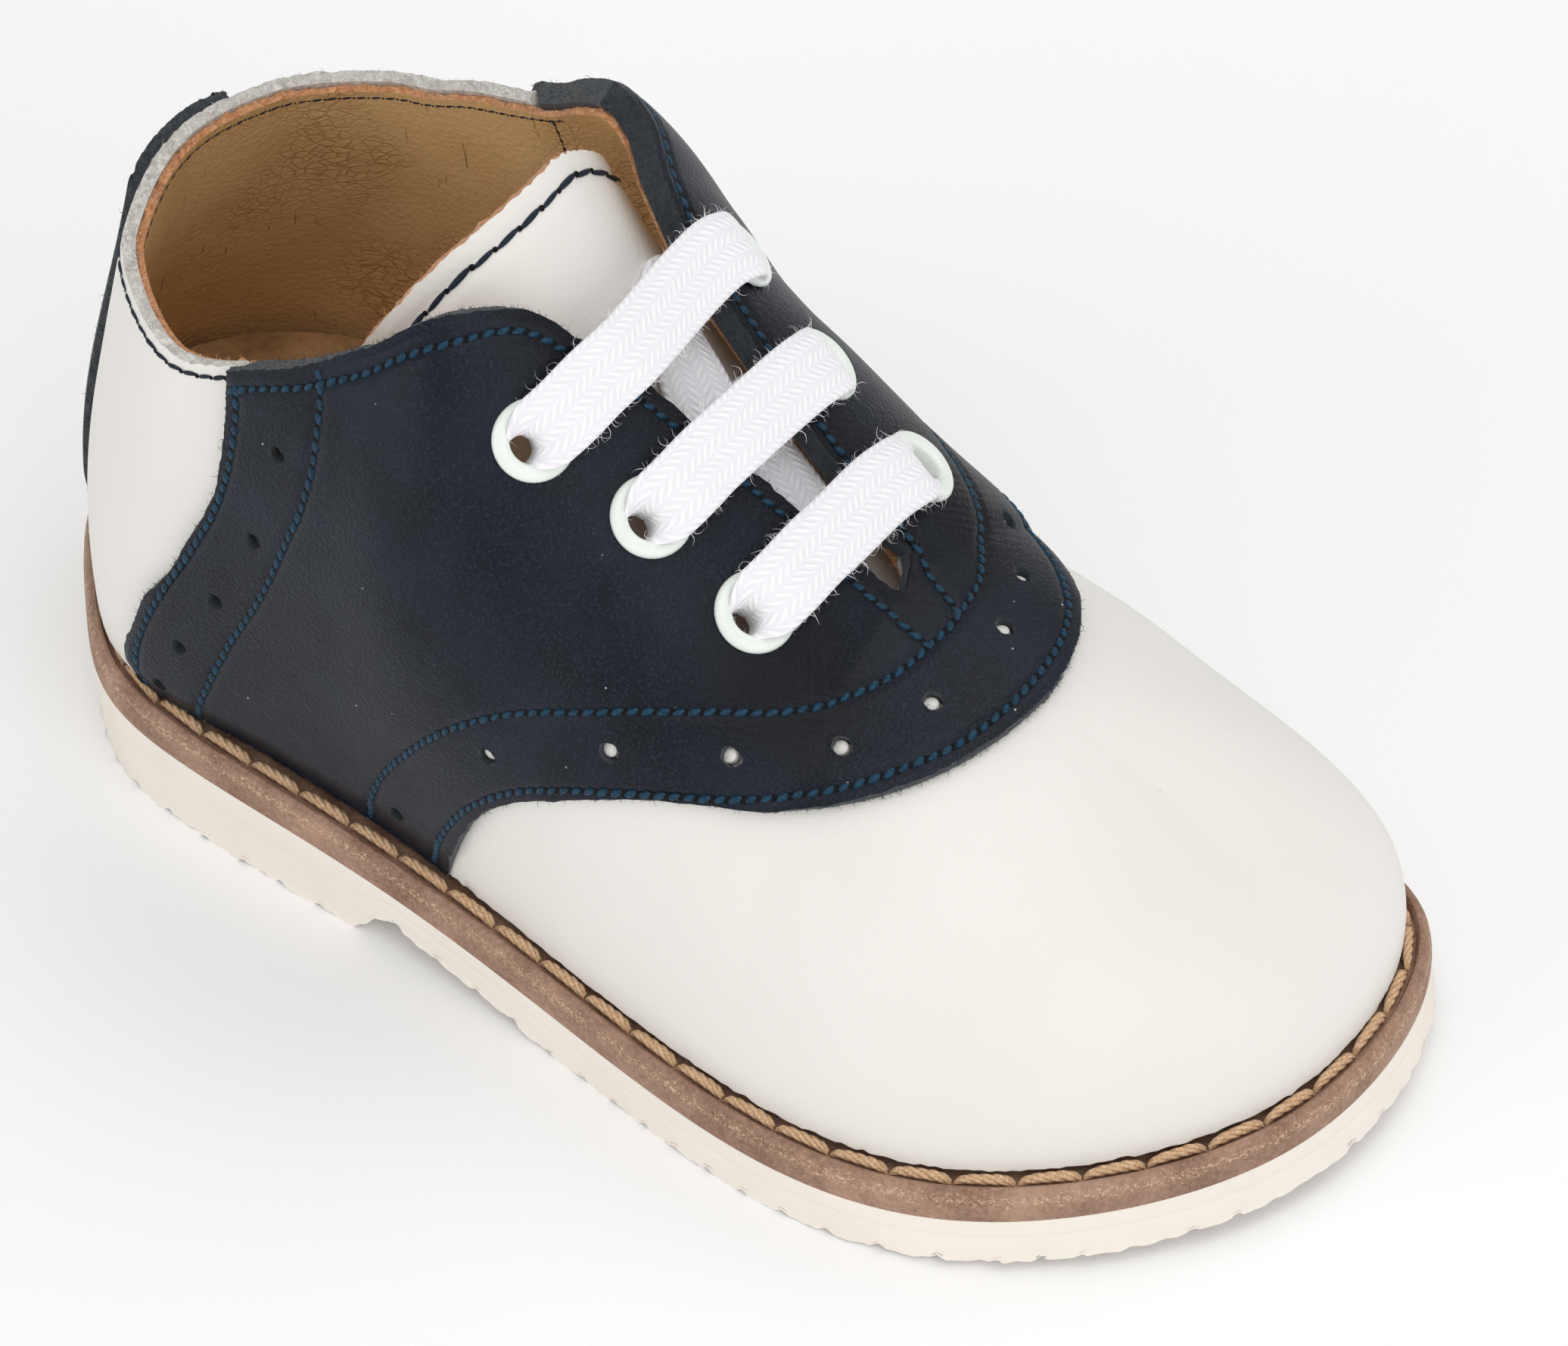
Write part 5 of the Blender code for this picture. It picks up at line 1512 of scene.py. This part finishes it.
lining_stitch = stitch_shape("lining_stitch", 0.95 * MM, 0.12 * MM, LINING_PITCH)
lining_sewing = dict(heel_sewing, Shape=lining_stitch, Pitch=LINING_PITCH)
add_piece("lining_stitches", run_tree(along_path, path_mesh("lining_seams", lining_paths), lining_sewing))

# %% [markdown]
# The tongue is a padded strip of white leather that lies under the lace and stands free at its top. It is
# an arched sheet: a crown line up the instep and an arc across it at each step. Its cut edge is orange tan,
# and one seam of longer stitches runs across it below the edge.

# %% Tongue
TONGUE_COLUMNS = ("x", "z", "y", "half", "radius", "tilt")
TONGUE = np.array((
    (0.690, 0.0400, 0.0006, 0.0090, 0.024, 0), (0.645, 0.0415, 0.0006, 0.0105, 0.021, 0),
    (0.571, 0.0488, 0.0006, 0.0120, 0.018, 0), (0.497, 0.0574, 0.0008, 0.0130, 0.017, -1),
    (0.430, 0.0660, 0.0012, 0.0138, 0.0165, -4), (0.359, 0.0757, 0.0018, 0.0138, 0.0168, -8),
))
TONGUE_THICKNESS = 1.6 * MM
TONGUE_WIDER = 9.5 * MM
EDGE_ACROSS = np.array((-26, -22, -18, -14, -10, 5, 7.5, 10, 12, 14)) * MM
EDGE_DROP = np.array((2.8, 2.0, 1.2, 0.5, 0.0, 0.0, 0.5, 1.5, 2.4, 3.6)) * MM
TONGUE_RUN = 62 * MM
TONGUE_SEAM = 2.1 * MM
TONGUE_PITCH = 3.0 * MM


def tongue_frame(place):
    """Crown, directions across and out, half-width and radius at shares up the tongue."""
    knots = np.linspace(0, 1, len(TONGUE))
    values = {name: monotone(knots, TONGUE[:, i], place) for i, name in enumerate(TONGUE_COLUMNS)}
    crown = np.c_[HEEL_X + values["x"] * LENGTH, values["y"] - MIDDLE[1], values["z"]]
    run = np.gradient(crown, axis=0)
    run /= np.linalg.norm(run, axis=1)[:, None]
    side = np.array((0.0, 1.0, 0.0))
    out = np.cross(side, run)
    out *= np.sign(out[:, 2:3])
    tilt = np.radians(values["tilt"])[:, None]
    return (crown, side * np.cos(tilt) - out * np.sin(tilt), out * np.cos(tilt) + side * np.sin(tilt),
            values["half"], values["radius"])


def tongue_point(frame_at, offset, lift):
    """Points at distances across the arch and over it."""
    crown, across, rise, _, radius = frame_at
    angle = offset / radius
    return crown + across * (np.sin(angle) * (radius + lift))[:, None] + rise * (
        np.cos(angle) * (radius + lift) - radius)[:, None]


def tongue_grid(places, shares, lift):
    """Points over the tongue at shares along and across; its top edge drops toward the corners."""
    frame_at = tongue_frame(places)
    half = frame_at[3]
    grid = []
    for share in shares:
        wide = half + (TONGUE_WIDER * smooth_step(places, 0.60, 0.92) if share < 0 else 0)
        offset = share * wide
        drop = np.interp(offset[-1], EDGE_ACROSS, EDGE_DROP) / TONGUE_RUN
        lowered = tongue_frame(places - drop * smooth_step(places, 0.5, 1.0))
        grid.append(tongue_point(lowered, offset, lift(places, share)))
    return np.array(grid)


def tongue_top(places, share):
    """Soft waves of the padded leather and the trough of its seam."""
    from_seam = (1 - places) * TONGUE_RUN - TONGUE_SEAM
    soft = 0.16 * MM * np.sin((1 - places) * TONGUE_RUN / (5 * MM)) * np.cos(3 * share)
    return soft - 0.28 * MM * np.exp(-(from_seam / (0.8 * MM)) ** 2)


def tongue_wall():
    places = np.r_[np.linspace(0, 0.8, 70), np.linspace(0.805, 1, 48)]
    shares = np.linspace(-1, 1, 61)
    outside = tongue_grid(places, shares, tongue_top)
    inside = tongue_grid(places, shares, lambda at, share: tongue_top(at, share) - TONGUE_THICKNESS)
    marks = np.stack(np.broadcast_arrays(shares[:, None] * 0.02, places[None, :] * TONGUE_RUN, 0.0), -1)
    grids = [grid.transpose(1, 0, 2)[:, ::-1] for grid in (outside, inside, marks)]
    return leather_wall("white_tongue", [grids], (white_leather, tan_edge, tan_edge), 3, 0.10 * MM, 0.08 * MM)


tongue = add_piece("white_tongue", tongue_wall(), ["tongue"])

# %% [markdown]
# The tongue's seam is read off the same grid as its leather, so it lies in the trough. Its stitches are the
# longest on the shoe.

# %% Seam across the tongue
seam_share = 1 - TONGUE_SEAM / TONGUE_RUN
places = np.linspace(seam_share, 1, 30)
shares = np.linspace(-0.955, 0.955, 160)
seam_grid = tongue_grid(places, shares, lambda at, share: tongue_top(at, share) + 0.10 * MM)
seam_over = tongue_grid(places, shares, lambda at, share: tongue_top(at, share) + MM)
seam_out = seam_over[:, 0] - seam_grid[:, 0]
tongue_seam = (seam_grid[:, 0], seam_out / np.linalg.norm(seam_out, axis=1)[:, None])
long_stitch = stitch_shape("long_stitch", 2.9 * MM, 0.27 * MM, TONGUE_PITCH)
tongue_sewing = dict(sewing, Shape=long_stitch, Pitch=TONGUE_PITCH, Material=dark_thread)
add_piece("tongue_stitches", run_tree(along_path, path_mesh("tongue_seam", [tongue_seam]), tongue_sewing))

# %% [markdown]
# An eyelet is turned: a rounded flange on the leather and a barrel through it. One profile is spun into a
# ring, and the second tree sets six copies at the seats.

# %% Eyelets
EYELET_PROFILE = (
    (2.30, -3.60), (2.30, -1.20), (2.30, 0.05), (2.34, 0.28), (2.44, 0.47), (2.62, 0.62),
    (2.90, 0.70), (3.30, 0.71), (3.62, 0.63), (3.84, 0.48), (3.96, 0.28), (4.00, 0.06),
    (3.92, -0.10), (2.66, -0.10), (2.65, -3.60),
)


def eyelet_shape(sides=44):
    bm = bmesh.new()
    angle = np.linspace(0, 2 * np.pi, sides, endpoint=False)
    loops = []
    for radius, z in EYELET_PROFILE:
        loops.append([bm.verts.new((radius * MM * math.cos(a), radius * MM * math.sin(a), z * MM))
                      for a in angle])
    for low, high in zip(loops, loops[1:] + loops[:1]):
        for i in range(sides):
            j = (i + 1) % sides
            bm.faces.new((low[i], high[i], high[j], low[j]))
    bmesh.ops.recalc_face_normals(bm, faces=bm.faces)
    return bpy.data.objects.new("eyelet", mesh_from("eyelet", bm))


eyelet_mesh = run_tree(at_points, path_mesh("eyelets", [seat_points], joined=False),
                       {"Shape": eyelet_shape(), "Unevenness": 0.0, "Material": enamel,
                        "Hole Material": enamel})
add_piece("enamel_eyelets", eyelet_mesh,
          [f"eyelet_{side}_{n}" for side in ("outer", "inner") for n in (1, 2, 3)])

# %% [markdown]
# The lace is flat, and three bars of it cross the throat. Each bar comes up through its outer eyelet,
# rolled almost to a tube by the narrow bore, flattens out over the flange, and dives into the inner eyelet
# again. So the section is a flat oval that is bent to an arc: a strong bend in the bores, none in between.

# %% Lace bars
LACE_WIDTH = 7.4 * MM
LACE_THICKNESS = 1.5 * MM
LACE_LIFT = 0.9 * MM
CURL = 4.1
CURL_REACH = ((2.8 * MM, 5.2 * MM), (2.4 * MM, 4.2 * MM))
OUTER_BEND = ((0.4, -3.4), (0.4, -2.2), (0.4, -1.0), (0.6, 0.3), (1.5, 1.25), (2.9, 1.6), (4.0, 1.7))
INNER_BENDS = (
    ((0.3, -3.4), (0.3, -2.2), (0.1, -1.2), (-0.1, -0.1), (0.3, 0.95), (1.5, 1.6), (3.4, 1.7)),
    ((-0.2, -3.4), (-0.2, -2.2), (-0.4, -1.2), (-0.6, -0.1), (-0.1, 1.0), (1.2, 1.65), (3.2, 1.75)),
    ((1.0, -3.4), (1.0, -2.2), (0.9, -1.3), (1.0, -0.2), (1.6, 0.8), (2.9, 1.4), (4.6, 1.6)),
)
BAR_EDGES = ((0.470, 0.4615), (0.524, 0.524), (0.583, 0.582))
SECTION_STEPS = 44


def throat_edge(number, side, lift):
    """Point where a bar crosses the edge of the throat."""
    along = BAR_EDGES[number][side]
    return over_upper(side, along, np.interp(along, *np.array(TOPS[side]).T), lift)


def lace_toward(number, side):
    """Direction from an eyelet to the place where its bar crosses the edge, in the eyelet's plane."""
    centre, out, _ = SEATS[2 * number + side]
    toward = throat_edge(number, side, ON_SADDLE) - centre
    toward -= out * (toward @ out)
    return toward / np.linalg.norm(toward)


def bar_line(number):
    """Points along a bar and the directions its face looks, from the outer bore to the inner one."""
    lines = []
    for side, bend, shares in ((OUTER, OUTER_BEND, (0.7, 0.85, 1.0)), (INNER, INNER_BENDS[number], (1.0,))):
        along, up = EYELETS[number][2 * side:2 * side + 2]
        centre, out, _ = SEATS[2 * number + side]
        share = np.array(shares)
        edge = BAR_EDGES[number][side]
        toward = lace_toward(number, side)
        points = [centre + toward * x * MM + out * z * MM for x, z in bend]
        faces = [-toward, -toward, -toward, out * 0.3 - toward * 0.95, out * 0.75 - toward * 0.65, out, out]
        q = along + (edge - along) * share
        t = up + (np.interp(edge, *np.array(TOPS[side]).T) - up) * share
        normal = upper_normal(side, q, t)
        lifts = np.interp(share, (0.7, 1.0),
                          (ON_SADDLE + 1.6 * MM, ON_SADDLE + LACE_LIFT + LACE_THICKNESS / 2))
        points += list(upper_point(side, q, t) + normal * lifts[:, None])
        faces += list(normal)
        lines.append((np.array(points), np.array(faces)))
    outer, inner = lines
    return np.vstack([outer[0], inner[0][::-1]]), np.vstack([outer[1], inner[1][::-1]])


def even_line(points, faces, step):
    """The line and its face directions at even steps, smoothed a little."""
    for _ in range(3):
        run = np.r_[0, np.cumsum(np.linalg.norm(np.diff(points, axis=0), axis=1))]
        fine = np.linspace(0, run[-1], int(run[-1] / step))
        points = np.stack([monotone(run, points[:, i], fine) for i in range(3)], 1)
        faces = np.stack([monotone(run, faces[:, i], fine) for i in range(3)], 1)
        for _ in range(8):
            points[1:-1] = (points[:-2] + 2 * points[1:-1] + points[2:]) / 4
            faces[1:-1] = (faces[:-2] + 2 * faces[1:-1] + faces[2:]) / 4
    return points, faces


def under_line(number):
    """Points of the hidden run from the outer eyelet of a bar to the inner eyelet of the bar above it."""
    points, faces = [], []
    for side, bar in ((OUTER, number), (INNER, number - 1)):
        centre, out, _ = SEATS[2 * bar + side]
        toward = lace_toward(bar, side)
        steps = [centre + toward * x * MM + out * z * MM for x, z in ((0.4, -3.6), (0.9, -4.6), (2.6, -5.2))]
        steps.append(throat_edge(bar, side, -LINING_IN - 0.9 * MM))
        looks = [toward, toward * 0.7 + out * 0.7, out, out]
        points += steps if side == OUTER else steps[::-1]
        faces += looks if side == OUTER else looks[::-1]
    return np.array(points), np.array(faces)


def lace_strip(name, line, shift, reach):
    """Strip of lace along a line, rolled up at both ends."""
    points, faces = even_line(*line, 0.3 * MM)
    runs = np.gradient(points, axis=0)
    runs /= np.linalg.norm(runs, axis=1)[:, None]
    wide = np.cross(runs, faces)
    wide /= np.linalg.norm(wide, axis=1)[:, None]
    high = np.cross(wide, runs)
    distance = np.r_[0, np.cumsum(np.linalg.norm(np.diff(points, axis=0), axis=1))]
    ease = np.maximum(1 - smooth_step(distance, *reach[OUTER]),
                      1 - smooth_step(distance[-1] - distance, *reach[INNER]))
    curl = CURL * ease + 0.02
    thick = LACE_THICKNESS / 2 * (1 - 0.35 * ease)
    angle = np.linspace(0, 2 * np.pi, SECTION_STEPS, endpoint=False)
    flat = np.sign(np.cos(angle)) * np.abs(np.cos(angle)) ** 0.55 * LACE_WIDTH / 2
    edge = np.sign(np.sin(angle)) * np.abs(np.sin(angle)) ** 0.8
    bm = bmesh.new()
    marks = bm.verts.layers.float_vector.new("marks")
    loops = []
    for i, point in enumerate(points):
        radius = LACE_WIDTH / curl[i]
        bend = flat / radius
        depth = radius - edge * thick[i]
        sideways = (depth * np.sin(bend))[:, None]
        place = point + wide[i] * sideways + high[i] * (radius - depth * np.cos(bend))[:, None]
        loop = [bm.verts.new(p) for p in place]
        for vert, across, top in zip(loop, flat, edge):
            vert[marks] = (distance[i] + shift, across + LACE_WIDTH, top)
        loops.append(loop)
    bridge(bm, loops)
    bm.faces.new(loops[0][::-1])
    bm.faces.new(loops[-1])
    bmesh.ops.recalc_face_normals(bm, faces=bm.faces)
    return mesh_from(name, bm), distance[-1]


lace_bars = []
for number in range(3):
    bar_mesh, bar_length = lace_strip(f"cotton_lace_{number + 1}", bar_line(number), number * 0.1, CURL_REACH)
    lace_bars.append(add_piece(bar_mesh.name, bar_mesh, [f"lace_bar_{number + 1}"], [cotton]))
    print("bar", number + 1, round(bar_length * 1000, 1), "mm from bore to bore")

# %% [markdown]
# Between the bars a little of the hidden lace shows. Each run goes under the facings, from an outer eyelet
# to the inner eyelet of the bar above it.

# %% Hidden runs of the lace
UNDER_REACH = ((0.6 * MM, 2.2 * MM), (0.6 * MM, 2.2 * MM))
for number in (1, 2):
    run_mesh, run_length = lace_strip(f"cotton_lace_under_{number}", under_line(number), 0.5 + number * 0.1,
                                      UNDER_REACH)
    add_piece(run_mesh.name, run_mesh, [], [cotton])
    print("hidden run", number, round(run_length * 1000, 1), "mm")

# %% [markdown]
# Cotton sheds: fine hairs stand out all over the lace and most of all at its edges. A third tree scatters
# them along the edges, with a fixed seed, turned at random about the direction out.

# %% Loose fibres
def fibre_shape(name, radius, length):
    """Thin curved hair of three sides."""
    rings = []
    angle = np.linspace(0, 2 * np.pi, 3, endpoint=False)
    for s in np.linspace(0, 1, 5):
        thick = radius * (1 - 0.75 * s)
        centre = np.array((0.55 * s * s, 0.22 * math.sin(3 * s), s * (1 - 0.3 * s))) * length
        rings.append(np.c_[thick * np.cos(angle), thick * np.sin(angle), np.zeros(3)] + centre)
    return shape_object(name, [rings])


def fibre_tree():
    tree, given = new_tree("scatter_fibres", Geometry="Geometry", Shape="Object", Density="Float",
                           Shortest="Float", Longest="Float", Material="Material")
    points = add(tree, "GeometryNodeDistributePointsOnFaces",
                 {"Mesh": given["Geometry"], "Density": given["Density"], "Seed": 5}).outputs
    spin = add(tree, "FunctionNodeRandomValue",
               {0: (-1.1, -1.1, 0.0), 1: (1.1, 1.1, 6.28), "Seed": 3}, data_type="FLOAT_VECTOR").outputs[0]
    spin = add(tree, "FunctionNodeEulerToRotation", {0: spin}).outputs[0]
    turn = add(tree, "FunctionNodeRotateRotation", {"Rotation": points["Rotation"], "Rotate By": spin},
               rotation_space="LOCAL").outputs[0]
    size = add(tree, "FunctionNodeRandomValue",
               {2: given["Shortest"], 3: given["Longest"], "Seed": 9}, data_type="FLOAT").outputs[1]
    shape = add(tree, "GeometryNodeObjectInfo", {"Object": given["Shape"]}).outputs["Geometry"]
    copies = add(tree, "GeometryNodeInstanceOnPoints", {"Points": points["Points"], "Instance": shape,
                                                        "Rotation": turn, "Scale": size}).outputs[0]
    real = add(tree, "GeometryNodeRealizeInstances", {0: copies}).outputs[0]
    done = add(tree, "GeometryNodeSetMaterial", {"Geometry": real, "Material": given["Material"]})
    add(tree, "NodeGroupOutput", {0: done.outputs[0]})
    return tree


def lace_skin():
    """Copy of the bars' faces near their edges, without the end caps."""
    bm = bmesh.new()
    for bar in lace_bars:
        bm.from_mesh(bar.data)
    marks = bm.verts.layers.float_vector["marks"]
    away = []
    for face in bm.faces:
        from_middle = abs(face.verts[0][marks][1] - LACE_WIDTH)
        if len(face.verts) > 4 or abs(from_middle - LACE_WIDTH / 2) > 0.5 * MM:
            away.append(face)
    bmesh.ops.delete(bm, geom=away, context="FACES")
    return mesh_from("lace_fibres", bm)


scatter = fibre_tree()
cotton_hair = fibre_shape("cotton_hair", 0.022 * MM, MM)
hair = {"Shape": cotton_hair, "Density": 2.2e6, "Shortest": 0.4, "Longest": 1.7, "Material": cotton}
add_piece("lace_fibres", run_tree(scatter, lace_skin(), hair))

# %% [markdown]
# The cut rims fray in the same way, with fibres that are shorter and thicker. Only rims above the welt are
# seen, so the tree scatters on those alone.

# %% Frayed edges of the leather
FRAY_FLOOR = 0.024


def cut_rim(piece):
    """Copy of the rim faces of a wall, above the welt."""
    bm = bmesh.new()
    bm.from_mesh(piece.data)
    away = [face for face in bm.faces if face.material_index != 1 or face.calc_center_median().z < FRAY_FLOOR]
    bmesh.ops.delete(bm, geom=away, context="FACES")
    return mesh_from(piece.name + "_fray", bm)


tuft = fibre_shape("leather_fibre", 0.04 * MM, 0.75 * MM)
frayed = ((saddle, navy_edge, "saddle"), (backstay, navy_edge, "backstay"), (upper, white_edge, "upper"),
          (lining, tan_edge, "upper"), (tongue, tan_edge, "tongue"))
for piece, made, slot_name in frayed:
    fibres = {"Shape": tuft, "Density": 2.6e6, "Shortest": 0.4, "Longest": 1.1, "Material": made}
    add_piece(piece.name + "_fray", run_tree(scatter, cut_rim(piece), fibres))

# %% [markdown]
# The stage is a plain pale floor under soft studio light: a wide panel overhead, one over the camera's
# shoulder that reaches into the collar, and two low ones at the heel and at the toe. The surround is dim,
# so that the navy leather stays dark where it mirrors the room and turns lighter where it mirrors the
# floor.

# %% Floor and light
def make_floor():
    made, tree, shader, place = new_material("white_paper_floor", roughness=0.9)
    cloud = add(tree, "ShaderNodeTexNoise", {"Vector": place, "Scale": 3.0}).outputs[0]
    colour = add(tree, "ShaderNodeMix",
                 {0: cloud, 6: linear("#FBFBFB"), 7: linear("#FEFEFE")}, data_type="RGBA")
    tree.links.new(colour.outputs[2], shader["Base Color"])
    bm = bmesh.new()
    bmesh.ops.create_circle(bm, cap_ends=True, segments=96, radius=2.5)
    mesh = mesh_from("floor", bm)
    mesh.materials.append(made)
    floor = bpy.data.objects.new("floor", mesh)
    scene.collection.objects.link(floor)


def add_panel(name, place, aim, size, power):
    """Soft light panel."""
    light = bpy.data.lights.new(name, "AREA")
    light.shape = "DISK"
    light.size = size
    light.energy = power
    panel = bpy.data.objects.new(name, light)
    panel.location = place
    panel.rotation_euler = (Vector(aim) - Vector(place)).to_track_quat("-Z", "Y").to_euler()
    scene.collection.objects.link(panel)


make_floor()
add_panel("overhead", (0.25, 0.65, 1.45), (0, 0, 0), 1.4, 5.6)
add_panel("over_shoulder", (0.35, -0.45, 1.5), (0, 0, 0), 1.3, 4.5)
add_panel("heel_side", (-0.7, -1.5, 0.5), (0, 0, 0.03), 1.5, 6.8)
add_panel("toe_side", (1.4, -0.6, 0.6), (0, 0, 0.03), 1.5, 7.2)
world = bpy.data.worlds.new("surround")
world.use_nodes = True
world.node_tree.nodes["Background"].inputs["Color"].default_value = (1, 1, 1, 1)
world.node_tree.nodes["Background"].inputs["Strength"].default_value = 0.56
scene.world = world
scene.view_settings.view_transform = "Standard"

# %% [markdown]
# The two cutters, which only cut the walls, are removed.

# %% Remove the cutters
for helper in (bore_cutter, hole_cutter):
    bpy.data.objects.remove(helper, do_unlink=True)
